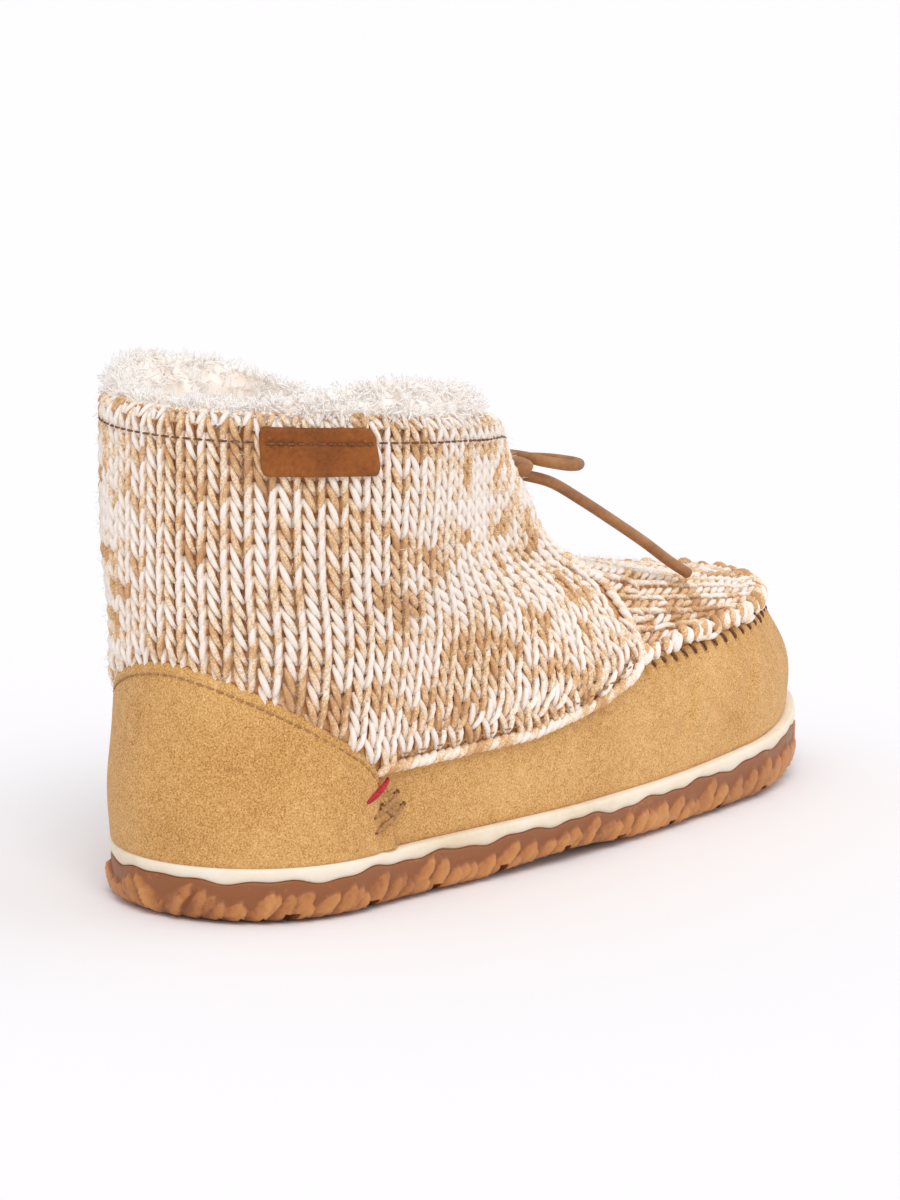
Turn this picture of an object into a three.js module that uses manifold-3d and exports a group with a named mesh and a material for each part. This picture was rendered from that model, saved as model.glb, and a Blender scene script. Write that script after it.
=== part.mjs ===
// A right ankle boot of the mukluk family: knitted shaft and vamp, suede moccasin upper,
// fleece collar, cream midsole band and a gum outsole, tied with one leather lace.
// Millimetres. While the boot is worked out, x runs from the back of the heel to the toe,
// +y is the inner (medial) side, -y the outer (lateral) side, and z = 0 is the floor.
import * as THREE from "three";
import { mergeVertices } from "three/addons/utils/BufferGeometryUtils.js";
import Module from "manifold-3d";

const wasm = await Module();
wasm.setup();

// Driving dimensions
const SOLE_LENGTH = 262;
const GAP = 0.3;
const GUM_HEIGHT = 10.5;
const SOLE_HEIGHT = 14;
const SOLE_LIFT_FROM = 0.55;
const SOLE_LIFT = 7.5;
const TOE_SPRING = 8;
const TOE_SPRING_FROM = 202;
const ARCH_LIFT = 2;
const ARCH_MIDDLE = 112;
const ARCH_REACH = 38;
const SUEDE_WALL = 2;
const COUNTER_WALL = 1.6;
const KNIT_WALL = 3;
const INSOLE_THICKNESS = 4;
const FLEECE_THICKNESS = 7;
const FLEECE_RISE = 0.5;
const LACE_DIAMETER = 3;
const EYELET_DIAMETER = 4.8;

// The last, as rings stacked from the sole up. Each row is one closed ring: where it starts
// at the back and ends in front, the half widths along it, how far the medial side pulls in
// at the arch, how far the toe bends inwards, and how round its two ends are.
const RINGS = [
  {
    name: "feather", backX: 2, backZ: 14.3, frontX: 259, frontZ: 21.8, liftFrom: SOLE_LIFT_FROM,
    heel: 34.5, waist: 42.5, ball: 42.5, toe: 39, arch: 6, bend: 5, backRound: 37, frontRound: 62,
  },
  {
    name: "bulge", backX: 0.8, backZ: 28, frontX: 258.5, frontZ: 35, liftFrom: 0.4,
    heel: 34.7, waist: 42, ball: 42.5, toe: 39.5, arch: 5, bend: 5, backRound: 37, frontRound: 62,
  },
  {
    name: "seam", backX: 2.5, backZ: 44, frontX: 248, frontZ: 49, liftFrom: 0,
    heel: 34.4, waist: 40.5, ball: 38.5, toe: 36.5, arch: 3, bend: 5, backRound: 37, frontRound: 60,
  },
  {
    name: "vamp", backX: 4.2, backZ: 65, frontX: 211, frontZ: 59, liftFrom: 0,
    heel: 35.4, waist: 36.5, ball: 26, toe: 25, arch: 0, bend: 4, backRound: 38, frontRound: 36,
  },
  {
    name: "instep", backX: 3.8, backZ: 84, frontX: 149, frontZ: 72.5, liftFrom: 0,
    heel: 39, waist: 37, ball: 26.5, toe: 25.5, arch: 0, bend: 2, backRound: 41, frontRound: 36,
  },
  {
    name: "throat", backX: 4, backZ: 103, frontX: 122, frontZ: 95, liftFrom: 0,
    heel: 41.5, waist: 40.5, ball: 31.5, toe: 30, arch: 0, bend: 1, backRound: 44, frontRound: 38,
  },
  {
    name: "collar", backX: 4, backZ: 121, frontX: 109, frontZ: 109, liftFrom: 0,
    heel: 42.5, waist: 43, ball: 36.4, toe: 34, arch: 0, bend: 0, backRound: 46, frontRound: 42,
  },
];
const WIDTH_STATIONS = [0, 0.18, 0.45, 0.74, 1];
const ARCH_STATION = 0.38;
const ARCH_SPREAD = 0.16;
const SEAM_LEVEL = 2;
const COLLAR_LEVEL = RINGS.length - 1;
const SEAM_FRONT_FROM = 0.605;
const SEAM_FRONT_FULL = 0.72;
const PLUG_RISE = 20;

// The outline of the sole unit, in the same terms as a ring.
const SOLE_RING = {
  name: "sole", backX: 0, backZ: 0, frontX: SOLE_LENGTH, frontZ: 0, liftFrom: 0,
  heel: 36.4, waist: 44.5, ball: 44.5, toe: 41, arch: 6, bend: 5.5, backRound: 37.6, frontRound: 62,
};

// Cut lines on the last: turn is the angle round the boot from the back of the heel, in
// radians, the same to both sides; level counts the rings upwards.
const COUNTER_TOP = [
  { turn: 0, level: 2.87 },
  { turn: 0.22, level: 2.72 },
  { turn: 0.45, level: 2.45 },
  { turn: 0.62, level: 2.1 },
  { turn: 0.72, level: 1.78 },
  { turn: 0.785, level: 1.44 },
  { turn: 0.825, level: 0.95 },
  { turn: 0.862, level: 0.08 },
];
const SHAFT_HEM = [
  { turn: 0.785, level: 1.42 },
  { turn: 1.06, level: 1.42 },
  { turn: 1.31, level: 1.44 },
  { turn: 1.54, level: 1.64 },
  { turn: 1.68, level: 1.84 },
  { turn: 1.75, level: 2.04 },
  { turn: 1.8, level: 2.36 },
  { turn: 1.92, level: 2.8 },
  { turn: 2.12, level: 3.35 },
  { turn: 2.36, level: 3.95 },
  { turn: 2.56, level: 4.5 },
  { turn: 2.68, level: 5 },
  { turn: 2.74, level: 5.25 },
];
const SHAFT_TOP = [
  { turn: 0, level: COLLAR_LEVEL },
  { turn: 2.2, level: COLLAR_LEVEL },
  { turn: 2.4, level: 5.92 },
  { turn: 2.58, level: 5.75 },
  { turn: 2.74, level: 5.45 },
];
const TONGUE_EDGE = [
  { turn: 1.62, level: 2.35 },
  { turn: 1.8, level: 2.9 },
  { turn: 1.95, level: 3.5 },
  { turn: 2.12, level: 4.1 },
  { turn: 2.3, level: 4.8 },
  { turn: 2.42, level: 5.5 },
  { turn: 2.5, level: 6 },
  { turn: 2.62, level: 6.18 },
  { turn: Math.PI, level: 6.25 },
];
const UPPER_TOP = [
  { turn: 0, level: 3.15 },
  { turn: 0.45, level: 2.85 },
  { turn: 0.8, level: 2.2 },
  { turn: 1.1, level: 1.985 },
  { turn: Math.PI, level: 1.985 },
];
const PLUG_LOW_LEVEL = 2.02;
const LABEL = { from: 0.5, to: 1.03, low: 5.36, high: 5.97, thickness: 1.2 };
const EYELET = { turn: 2.5, level: 5 };

// Small helpers
const clamp01 = (value) => Math.min(1, Math.max(0, value));
const mix = (a, b, share) => a + (b - a) * share;
const smooth = (from, to, value) => {
  const share = clamp01((value - from) / (to - from));
  return share * share * (3 - 2 * share);
};

// A smooth curve through values at stations, with slopes taken from the neighbours.
function throughStations(stations, values, at) {
  const last = stations.length - 1;
  const slope = (k) => {
    const low = Math.max(k - 1, 0);
    const high = Math.min(k + 1, last);
    return (values[high] - values[low]) / (stations[high] - stations[low]);
  };
  let k = 0;
  while (k < last - 1 && at >= stations[k + 1]) k += 1;
  const span = stations[k + 1] - stations[k];
  const s = (at - stations[k]) / span;
  return (
    (2 * s ** 3 - 3 * s ** 2 + 1) * values[k] +
    (s ** 3 - 2 * s ** 2 + s) * span * slope(k) +
    (3 * s ** 2 - 2 * s ** 3) * values[k + 1] +
    (s ** 3 - s ** 2) * span * slope(k + 1)
  );
}

// A cut line's level at a turn, straight between its rows.
function lineLevel(line, turn) {
  const at = Math.abs(turn);
  let k = 0;
  while (k < line.length - 2 && at > line[k + 1].turn) k += 1;
  const share = clamp01((at - line[k].turn) / (line[k + 1].turn - line[k].turn));
  return mix(line[k].level, line[k + 1].level, share);
}

const roundEnd = (distance, radius) => Math.sqrt(1 - (1 - clamp01(distance / radius)) ** 2);

function ringPoint(ring, turn) {
  const t = (1 - Math.cos(turn)) / 2;
  const length = ring.frontX - ring.backX;
  const side = Math.sin(turn) < 0 ? 1 : -1;
  const widths = [ring.heel, ring.heel, ring.waist, ring.ball, ring.toe];
  let half = throughStations(WIDTH_STATIONS, widths, t);
  if (side > 0) half -= ring.arch * Math.exp(-(((t - ARCH_STATION) / ARCH_SPREAD) ** 2));
  half *= roundEnd(length * t, ring.backRound) * roundEnd(length * (1 - t), ring.frontRound);
  const lift = clamp01((t - ring.liftFrom) / (1 - ring.liftFrom)) ** 2;
  return new THREE.Vector3(
    ring.backX + length * t,
    side * half + ring.bend * t ** 2,
    mix(ring.backZ, ring.frontZ, lift),
  );
}

// The last's surface at a turn and a level. In front it has a crisp corner at the seam
// level, where the moccasin plug is sewn in; above the collar it runs on straight.
function lastPoint(turn, level) {
  const rings = RINGS.map((ring) => ringPoint(ring, turn));
  const low = Math.min(Math.floor(level), COLLAR_LEVEL - 1);
  const front = smooth(SEAM_FRONT_FROM, SEAM_FRONT_FULL, (1 - Math.cos(turn)) / 2);
  const slope = (k, above) => {
    const from = rings[Math.max(k - 1, 0)];
    const to = rings[Math.min(k + 1, COLLAR_LEVEL)];
    const span = Math.min(k + 1, COLLAR_LEVEL) - Math.max(k - 1, 0);
    const middle = to.clone().sub(from).divideScalar(span);
    if (k !== SEAM_LEVEL) return middle;
    const corner = above ? to.clone().sub(rings[k]) : rings[k].clone().sub(from);
    if (above) corner.z += PLUG_RISE;
    return middle.lerp(corner, front);
  };
  if (level > COLLAR_LEVEL) {
    const beyond = slope(COLLAR_LEVEL, true).multiplyScalar(level - COLLAR_LEVEL);
    return rings[COLLAR_LEVEL].clone().add(beyond);
  }
  const s = level - low;
  return rings[low]
    .clone()
    .multiplyScalar(2 * s ** 3 - 3 * s ** 2 + 1)
    .addScaledVector(slope(low, true), s ** 3 - 2 * s ** 2 + s)
    .addScaledVector(rings[low + 1], 3 * s ** 2 - 2 * s ** 3)
    .addScaledVector(slope(low + 1, false), s ** 3 - s ** 2);
}

const NORMAL_TURN = 0.004;
const NORMAL_LEVEL = 0.02;
function lastNormal(turn, level) {
  const low = Math.max(level - NORMAL_LEVEL, 0);
  const along = lastPoint(turn + NORMAL_TURN, level).sub(lastPoint(turn - NORMAL_TURN, level));
  const up = lastPoint(turn, level + NORMAL_LEVEL).sub(lastPoint(turn, low));
  return along.cross(up).normalize();
}

const lastOffset = (turn, level, offset) =>
  lastPoint(turn, level).addScaledVector(lastNormal(turn, level), offset);

// Closed solids from named faces
function solidGeometry(points, quads) {
  const positions = [];
  const push = (index) => positions.push(points[index].x, points[index].y, points[index].z);
  for (const [a, b, c, d] of quads) {
    [a, b, c].forEach(push);
    [a, c, d].forEach(push);
  }
  const geometry = new THREE.BufferGeometry();
  geometry.setAttribute("position", new THREE.Float32BufferAttribute(positions, 3));
  return geometry;
}

// A piece of the last's wall: between two cut lines, and between two offsets from the last.
function wallGeometry({ turns, closed, rows, low, high, outside, inside }) {
  const columns = turns.length;
  const points = [];
  const levels = Array.isArray(rows) ? rows : Array.from({ length: rows + 1 }, (_, j) => j / rows);
  const rowCount = levels.length;
  for (const offset of [outside, inside]) {
    for (const turn of turns) {
      for (const share of levels) {
        const level = mix(low(turn), high(turn), share);
        points.push(lastOffset(turn, level, offset(turn, level)));
      }
    }
  }
  const at = (skin, i, j) => (skin * columns + (i % columns)) * rowCount + j;
  const quads = [];
  const columnSteps = closed ? columns : columns - 1;
  const top = rowCount - 1;
  for (let i = 0; i < columnSteps; i += 1) {
    for (let j = 0; j < top; j += 1) {
      quads.push([at(0, i, j), at(0, i + 1, j), at(0, i + 1, j + 1), at(0, i, j + 1)]);
      quads.push([at(1, i, j), at(1, i, j + 1), at(1, i + 1, j + 1), at(1, i + 1, j)]);
    }
    quads.push([at(0, i, 0), at(1, i, 0), at(1, i + 1, 0), at(0, i + 1, 0)]);
    quads.push([at(0, i, top), at(0, i + 1, top), at(1, i + 1, top), at(1, i, top)]);
  }
  if (!closed) {
    const end = columns - 1;
    for (let j = 0; j < top; j += 1) {
      quads.push([at(0, 0, j), at(0, 0, j + 1), at(1, 0, j + 1), at(1, 0, j)]);
      quads.push([at(0, end, j), at(1, end, j), at(1, end, j + 1), at(0, end, j + 1)]);
    }
  }
  return solidGeometry(points, quads);
}

// A stack of closed outlines, each listed at the same turns, with its two ends closed by
// ladders of faces from the lateral to the medial side.
function stackGeometry(outlines) {
  const columns = outlines[0].length;
  const points = outlines.flat();
  const at = (k, i) => k * columns + (i % columns);
  const quads = [];
  for (let k = 0; k < outlines.length - 1; k += 1) {
    for (let i = 0; i < columns; i += 1) {
      quads.push([at(k, i), at(k, i + 1), at(k + 1, i + 1), at(k + 1, i)]);
    }
  }
  const top = outlines.length - 1;
  for (let i = 0; i < columns / 2; i += 1) {
    const [near, next] = [columns - i, columns - i - 1];
    quads.push([at(top, i), at(top, i + 1), at(top, next), at(top, near)]);
    quads.push([at(0, i), at(0, near), at(0, next), at(0, i + 1)]);
  }
  return solidGeometry(points, quads);
}

function toManifold(geometry) {
  const bare = geometry.index ? geometry.toNonIndexed() : geometry.clone();
  bare.deleteAttribute("normal");
  bare.deleteAttribute("uv");
  const merged = mergeVertices(bare, 1e-4);
  return new wasm.Manifold(
    new wasm.Mesh({
      numProp: 3,
      vertProperties: merged.attributes.position.array,
      triVerts: new Uint32Array(merged.index.array),
    }),
  );
}

function fromManifold(solid) {
  const mesh = solid.getMesh();
  const geometry = new THREE.BufferGeometry();
  const positions = new Float32Array((mesh.vertProperties.length / mesh.numProp) * 3);
  for (let k = 0; k < positions.length / 3; k += 1) {
    for (let axis = 0; axis < 3; axis += 1) {
      positions[3 * k + axis] = mesh.vertProperties[k * mesh.numProp + axis];
    }
  }
  geometry.setAttribute("position", new THREE.BufferAttribute(positions, 3));
  geometry.setIndex(new THREE.BufferAttribute(new Uint32Array(mesh.triVerts), 1));
  return geometry;
}

// Columns shared by every piece of the last's wall, so that their facets lie parallel: even
// steps between the stops on one side, mirrored to the other.
const COLUMN_STOPS = [
  { turn: 0.62, steps: 6 },
  { turn: 0.785, steps: 2 },
  { turn: 0.862, steps: 2 },
  { turn: 1.68, steps: 8 },
  { turn: 1.8, steps: 3 },
  { turn: 2.12, steps: 4 },
  { turn: 2.74, steps: 6 },
  { turn: Math.PI, steps: 5 },
];
const SIDE_TURNS = [0];
for (const stop of COLUMN_STOPS) {
  const from = SIDE_TURNS[SIDE_TURNS.length - 1];
  for (let n = 1; n <= stop.steps; n += 1) {
    SIDE_TURNS.push(mix(from, stop.turn, n / stop.steps));
  }
}
const NEAR = 1e-6;
const turnsWithin = (from, to) =>
  SIDE_TURNS.filter((turn) => turn > from - NEAR && turn < to + NEAR);
const otherSide = (turn) => Math.PI * 2 - turn;
const BACK_TO_FRONT = SIDE_TURNS.slice(1, -1).reverse().map(otherSide);
const ALL_TURNS = [...SIDE_TURNS, ...BACK_TO_FRONT];
function roundTheHeel(to) {
  const turns = turnsWithin(0, to);
  return [...turns.slice(1).reverse().map((turn) => -turn), ...turns];
}
function roundTheToe(from) {
  const turns = turnsWithin(from, Math.PI);
  return [...turns, ...turns.slice(0, -1).reverse().map(otherSide)];
}
const sideOf = (turn) => Math.min(Math.abs(turn), otherSide(Math.abs(turn)));

// Sole unit
const soleLift = (t) => SOLE_LIFT * clamp01((t - SOLE_LIFT_FROM) / (1 - SOLE_LIFT_FROM)) ** 2;
const bottomHeight = (x) =>
  TOE_SPRING * clamp01((x - TOE_SPRING_FROM) / (SOLE_LENGTH - TOE_SPRING_FROM)) ** 2 +
  ARCH_LIFT * smooth(ARCH_REACH, 0, Math.abs(x - ARCH_MIDDLE));

function insetRing(ring, inset) {
  const narrower = { ...ring, backX: ring.backX + inset, frontX: ring.frontX - inset };
  for (const width of ["heel", "waist", "ball", "toe"]) narrower[width] -= inset;
  return narrower;
}

// Turns that lie evenly along the edge of the sole, so that its ribs are of one size.
function evenEdgeTurns(count) {
  const fine = 720;
  const lengths = [0];
  for (let k = 1; k <= fine; k += 1) {
    const a = ringPoint(SOLE_RING, ((k - 1) / fine) * Math.PI);
    const b = ringPoint(SOLE_RING, (k / fine) * Math.PI);
    lengths.push(lengths[k - 1] + a.distanceTo(b));
  }
  const half = [];
  for (let n = 0; n <= count / 2; n += 1) {
    const goal = (lengths[fine] * n) / (count / 2);
    let k = 1;
    while (k < fine && lengths[k] < goal) k += 1;
    const share = (goal - lengths[k - 1]) / (lengths[k] - lengths[k - 1]);
    half.push(((k - 1 + share) / fine) * Math.PI);
  }
  const back = half.slice(1, -1).reverse();
  return [...half, ...back.map((turn) => Math.PI * 2 - turn)];
}
const EDGE_COLUMNS = 96;
const EDGE_TURNS = evenEdgeTurns(EDGE_COLUMNS);

// The ribs of the gum side wall: leaf shaped lobes, four columns each, that lean forwards.
const RIB_SHARES = [0, 0.55, 1, 0.7];
const RIB_DEPTH = 1.1;
const WAVE_HEIGHT = 0.7;
const ribShare = (column, lean) => {
  const fromHeel = Math.min(column, EDGE_COLUMNS - column);
  return RIB_SHARES[(fromHeel + lean) % RIB_SHARES.length];
};
const gumTop = (column, t) =>
  GUM_HEIGHT + soleLift(t) + WAVE_HEIGHT * (ribShare(column, 1) - 0.5);

function edgeOutline(inset, heightAt, ribs = 0, lean = 0) {
  return EDGE_TURNS.map((turn, column) => {
    const t = (1 - Math.cos(turn)) / 2;
    const own = inset + ribs * RIB_DEPTH * ribShare(column, lean);
    const point = ringPoint(insetRing(SOLE_RING, own), turn);
    point.z = heightAt(point.x, t, column);
    return point;
  });
}

const GROOVE = { first: 20, pitch: 24, count: 10, width: 3.4, depth: 2.6, chevron: 9, reach: 60 };

function grooveGeometry(x) {
  const { width, chevron, reach } = GROOVE;
  const outline = new THREE.Shape();
  outline.moveTo(x - width / 2 - chevron, -reach);
  outline.lineTo(x + width / 2 - chevron, -reach);
  outline.lineTo(x + width / 2, 0);
  outline.lineTo(x + width / 2 - chevron, reach);
  outline.lineTo(x - width / 2 - chevron, reach);
  outline.lineTo(x - width / 2, 0);
  const below = 2;
  const geometry = new THREE.ExtrudeGeometry(outline, {
    depth: GROOVE.depth + below,
    bevelEnabled: false,
  });
  return geometry.translate(0, 0, bottomHeight(x) - below);
}

function outsoleGeometry() {
  const sideHeight = (share) => (x, t) => mix(bottomHeight(x), GUM_HEIGHT + soleLift(t), share);
  const block = stackGeometry([
    edgeOutline(4.6, (x) => bottomHeight(x)),
    edgeOutline(1.4, (x) => bottomHeight(x) + 1.6, 1, 0),
    edgeOutline(0, sideHeight(0.4), 1, 0),
    edgeOutline(0.2, sideHeight(0.72), 1, 3),
    edgeOutline(0.4, (x, t, column) => gumTop(column, t)),
  ]);
  let solid = toManifold(block);
  for (let k = 0; k < GROOVE.count; k += 1) {
    solid = solid.subtract(toManifold(grooveGeometry(GROOVE.first + k * GROOVE.pitch)));
  }
  return fromManifold(solid);
}

function midsoleGeometry() {
  return stackGeometry([
    edgeOutline(0.9, (x, t, column) => gumTop(column, t) + GAP),
    edgeOutline(0, (x, t) => SOLE_HEIGHT - 1.4 + soleLift(t)),
    edgeOutline(0.5, (x, t) => SOLE_HEIGHT + soleLift(t)),
  ]);
}

function insoleGeometry() {
  const inset = RINGS[0].backX - SOLE_RING.backX + SUEDE_WALL + 1.5;
  return stackGeometry([
    edgeOutline(inset, (x, t) => SOLE_HEIGHT + GAP + soleLift(t)),
    edgeOutline(inset, (x, t) => SOLE_HEIGHT + GAP + INSOLE_THICKNESS + soleLift(t)),
  ]);
}

// Suede
const suedeUpperGeometry = () =>
  wallGeometry({
    turns: ALL_TURNS,
    closed: true,
    rows: 4,
    low: () => 0,
    high: (turn) => lineLevel(UPPER_TOP, sideOf(turn)),
    outside: () => 0,
    inside: () => -SUEDE_WALL,
  });

const COUNTER_END = COUNTER_TOP[COUNTER_TOP.length - 1].turn;
const counterGeometry = () =>
  wallGeometry({
    turns: roundTheHeel(COUNTER_END),
    closed: false,
    rows: 4,
    low: () => 0,
    high: (turn) => lineLevel(COUNTER_TOP, turn),
    outside: () => GAP + COUNTER_WALL,
    inside: () => GAP,
  });

// Knit
const SHAFT_ROWS = [0, 0.06, 0.12, 0.2, 0.3, 0.42, 0.56, 0.7, 0.85, 1];
const EDGE_LEVEL_GAP = 0.035;
const shaftLow = (turn) =>
  Math.abs(turn) < SHAFT_HEM[0].turn - NEAR
    ? lineLevel(COUNTER_TOP, turn) + EDGE_LEVEL_GAP
    : lineLevel(SHAFT_HEM, turn) + EDGE_LEVEL_GAP;

const UP = new THREE.Vector3(0, 1, 0);
function eyeletCutter(side) {
  const turn = side * EYELET.turn;
  const radius = EYELET_DIAMETER / 2;
  const cutter = new THREE.CylinderGeometry(radius, radius, KNIT_WALL * 4, 10);
  const normal = lastNormal(turn, EYELET.level);
  cutter.applyQuaternion(new THREE.Quaternion().setFromUnitVectors(UP, normal));
  return cutter.translate(...lastPoint(turn, EYELET.level).toArray());
}

function shaftGeometry() {
  const wall = wallGeometry({
    turns: roundTheHeel(SHAFT_HEM[SHAFT_HEM.length - 1].turn),
    closed: false,
    rows: SHAFT_ROWS,
    low: shaftLow,
    high: (turn) => lineLevel(SHAFT_TOP, turn),
    outside: () => GAP + KNIT_WALL,
    inside: () => GAP,
  });
  let solid = toManifold(wall);
  for (const side of [1, -1]) solid = solid.subtract(toManifold(eyeletCutter(side)));
  return fromManifold(solid);
}

// The plug on top of the foot and the tongue are one knitted piece; where it meets the
// suede its gathered edge stands up as a rim. Under the shaft it lies with a little ease.
const RIM = { height: 2.4, reach: 0.13, from: 1.84, full: 2.02 };
const TONGUE_EASE = 0.7;
const vampOutside = (turn, level) => {
  const bump = Math.exp(-(((level - PLUG_LOW_LEVEL - 0.06) / RIM.reach) ** 2));
  const under = TONGUE_EASE * smooth(1.9, 2.4, level);
  return RIM.height * bump * smooth(RIM.from, RIM.full, sideOf(turn)) - under;
};
const VAMP_ROWS = [0, 0.03, 0.07, 0.13, 0.21, 0.3, 0.39, 0.48, 0.57, 0.66, 0.75, 0.84, 0.92, 1];
function vampGeometry() {
  return wallGeometry({
    turns: roundTheToe(TONGUE_EDGE[0].turn),
    closed: false,
    rows: VAMP_ROWS,
    low: () => PLUG_LOW_LEVEL,
    high: (turn) => lineLevel(TONGUE_EDGE, sideOf(turn)),
    outside: vampOutside,
    inside: () => -KNIT_WALL - TONGUE_EASE,
  });
}

// Fleece collar: a thick roll that lines the collar and stands above it, with locks fused on.
const FLEECE_LOW = 4.7;
const FLEECE_HIGH = COLLAR_LEVEL + FLEECE_RISE;
const FLEECE_ROWS = [0, 0.35, 0.7, 0.82, 0.92, 1];
const FLEECE_EASE = 0.2;
const inFront = (turn) => smooth(1.95, 2.2, sideOf(turn));
const fleeceBack = (turn) => -(KNIT_WALL + TONGUE_EASE + GAP) * inFront(turn);
const fleeceOutside = (turn, level) => {
  const over = smooth(COLLAR_LEVEL + 0.05, COLLAR_LEVEL + 0.25, level);
  const curl = smooth(COLLAR_LEVEL + 0.3, FLEECE_HIGH, level);
  return fleeceBack(turn) - FLEECE_EASE + 1.8 * over * (1 - inFront(turn)) - 2.4 * curl;
};
const fleeceInside = (turn, level) => {
  const taper = smooth(FLEECE_LOW, FLEECE_LOW + 0.6, level);
  const curl = smooth(COLLAR_LEVEL + 0.15, FLEECE_HIGH, level);
  return fleeceBack(turn) - mix(3.5, FLEECE_THICKNESS, taper) + 2.2 * curl;
};
const LOCK = { around: 26, length: 5.5, radius: 2.6, buried: 1.6, sides: 5 };

function fleeceLock(turn, inner, wobble) {
  const level = FLEECE_HIGH - (inner ? 0.28 : 0.04);
  const depth = inner ? 0.6 - FLEECE_THICKNESS : 0.4 - FLEECE_THICKNESS / 2;
  const root = lastOffset(turn, level, fleeceBack(turn) + depth);
  const outward = lastNormal(turn, COLLAR_LEVEL);
  const along = new THREE.Vector3(-outward.y, outward.x, 0).multiplyScalar(0.5 * wobble);
  const way = new THREE.Vector3(0, 0, 1)
    .addScaledVector(outward, inner ? -0.9 : 0.35)
    .add(along)
    .normalize();
  const cone = new THREE.ConeGeometry(LOCK.radius, LOCK.length, LOCK.sides);
  cone.translate(0, LOCK.length / 2 - LOCK.buried, 0);
  cone.applyQuaternion(new THREE.Quaternion().setFromUnitVectors(UP, way));
  return cone.translate(root.x, root.y, root.z);
}

function fleeceGeometry() {
  let solid = toManifold(
    wallGeometry({
      turns: ALL_TURNS.filter((_, column) => column % 2 === 0),
      closed: true,
      rows: FLEECE_ROWS,
      low: () => FLEECE_LOW,
      high: () => FLEECE_HIGH,
      outside: fleeceOutside,
      inside: fleeceInside,
    }),
  );
  for (let k = 0; k < LOCK.around; k += 1) {
    const turn = (k / LOCK.around) * Math.PI * 2;
    for (const row of [0, 1]) {
      const own = turn + (row * Math.PI) / LOCK.around;
      solid = solid.add(toManifold(fleeceLock(own, row === 1, Math.sin(k * 2.4 + row))));
    }
  }
  return fromManifold(solid);
}

const labelGeometry = () =>
  wallGeometry({
    turns: [LABEL.from, ...turnsWithin(LABEL.from, LABEL.to), LABEL.to],
    closed: false,
    rows: 2,
    low: () => LABEL.low,
    high: () => LABEL.high,
    outside: () => KNIT_WALL + 2 * GAP + LABEL.thickness,
    inside: () => KNIT_WALL + 2 * GAP,
  });

// Lace: one leather cord through the two eyelets, tied in a bow over the tongue.
const KNOT = { x: 130.1, y: 0.8, z: 97.6 };
const KNOT_SIZE = { x: 6.4, y: 9, z: 7.6 };

function tube(route, steps) {
  const circle = new THREE.Shape();
  circle.absarc(0, 0, LACE_DIAMETER / 2, 0, Math.PI * 2, false);
  const section = new THREE.Shape(circle.getSpacedPoints(8).slice(0, 8));
  return new THREE.ExtrudeGeometry(section, {
    steps,
    bevelEnabled: false,
    extrudePath: new THREE.CatmullRomCurve3(route.map(([x, y, z]) => new THREE.Vector3(x, y, z))),
  });
}
const mirrored = (route) => route.map(([x, y, z]) => [x, 2 * KNOT.y - y, z]);

const BAR_LEAD = [1.4, 4, 6.2];
const BAR_MIDDLE = [
  [119.3, -17.7, 99.4],
  [123.2, -9, 98.8],
  [124.9, 1, 98.2],
  [123.1, 11, 98.9],
  [119.2, 19.5, 99.5],
];
function barGeometry() {
  const lead = (side) =>
    BAR_LEAD.map((offset) => lastOffset(side * EYELET.turn, EYELET.level, offset).toArray());
  return tube([...lead(1), ...BAR_MIDDLE, ...lead(-1).reverse()], 22);
}

const LOOP_ROUTE = [
  [128.5, -3.8, 98.9],
  [127.1, -10, 99.5],
  [125.4, -16.5, 99.7],
  [125.4, -22.6, 99.2],
  [128.2, -28, 98.5],
  [133.4, -27.2, 98.2],
  [136.4, -21, 98],
  [136.4, -13.5, 97.9],
  [132.3, -4.2, 97.6],
];
const LATERAL_END_ROUTE = [
  [132.2, -2.2, 94.3],
  [136.2, -8.5, 93],
  [141.5, -13, 91],
  [150, -16, 86],
  [161, -18.3, 79.6],
  [173.5, -20.4, 72.3],
  [184, -21.6, 65.9],
  [192.5, -22.2, 61.4],
];
const MEDIAL_END_ROUTE = [
  [132.2, 3.8, 94.3],
  [136, 10, 92.6],
  [140.5, 15.2, 89.8],
  [147, 20, 84.6],
  [155, 24.2, 78],
  [163.5, 27.6, 71],
  [172, 30.4, 62.8],
];

function knotGeometry() {
  return new THREE.SphereGeometry(0.5, 10, 8).scale(KNOT_SIZE.x, KNOT_SIZE.y, KNOT_SIZE.z);
}

// Materials
const finish = (color, roughness) =>
  new THREE.MeshStandardMaterial({ color, roughness, metalness: 0 });
const gum = finish(0xb9783f, 0.5);
const cream = finish(0xf0e4cc, 0.55);
const suede = finish(0xcda064, 0.95);
const knit = finish(0xe9d8c0, 0.95);
const fleece = finish(0xf6ecd9, 1);
const footbed = finish(0xe6d6bd, 0.95);
const labelLeather = finish(0x8f4a20, 0.7);
const laceLeather = finish(0xaf7845, 0.6);

// Assembly
const boot = new THREE.Group();
function piece(name, geometry, material) {
  const mesh = new THREE.Mesh(geometry, material);
  mesh.name = name;
  boot.add(mesh);
  return mesh;
}

piece("outsole", outsoleGeometry(), gum);
piece("midsole", midsoleGeometry(), cream);
piece("insole", insoleGeometry(), footbed);
piece("upper", suedeUpperGeometry(), suede);
piece("heel_counter", counterGeometry(), suede);
piece("shaft", shaftGeometry(), knit);
piece("vamp_and_tongue", vampGeometry(), knit);
piece("collar_fleece", fleeceGeometry(), fleece);
piece("label_tab", labelGeometry(), labelLeather);
piece("lace_bar", barGeometry(), laceLeather);

// The origin is the middle of the footprint, at floor level.
const size = new THREE.Box3().setFromObject(boot);
boot.position.set(-(size.min.x + size.max.x) / 2, -(size.min.y + size.max.y) / 2, -size.min.z);

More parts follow.
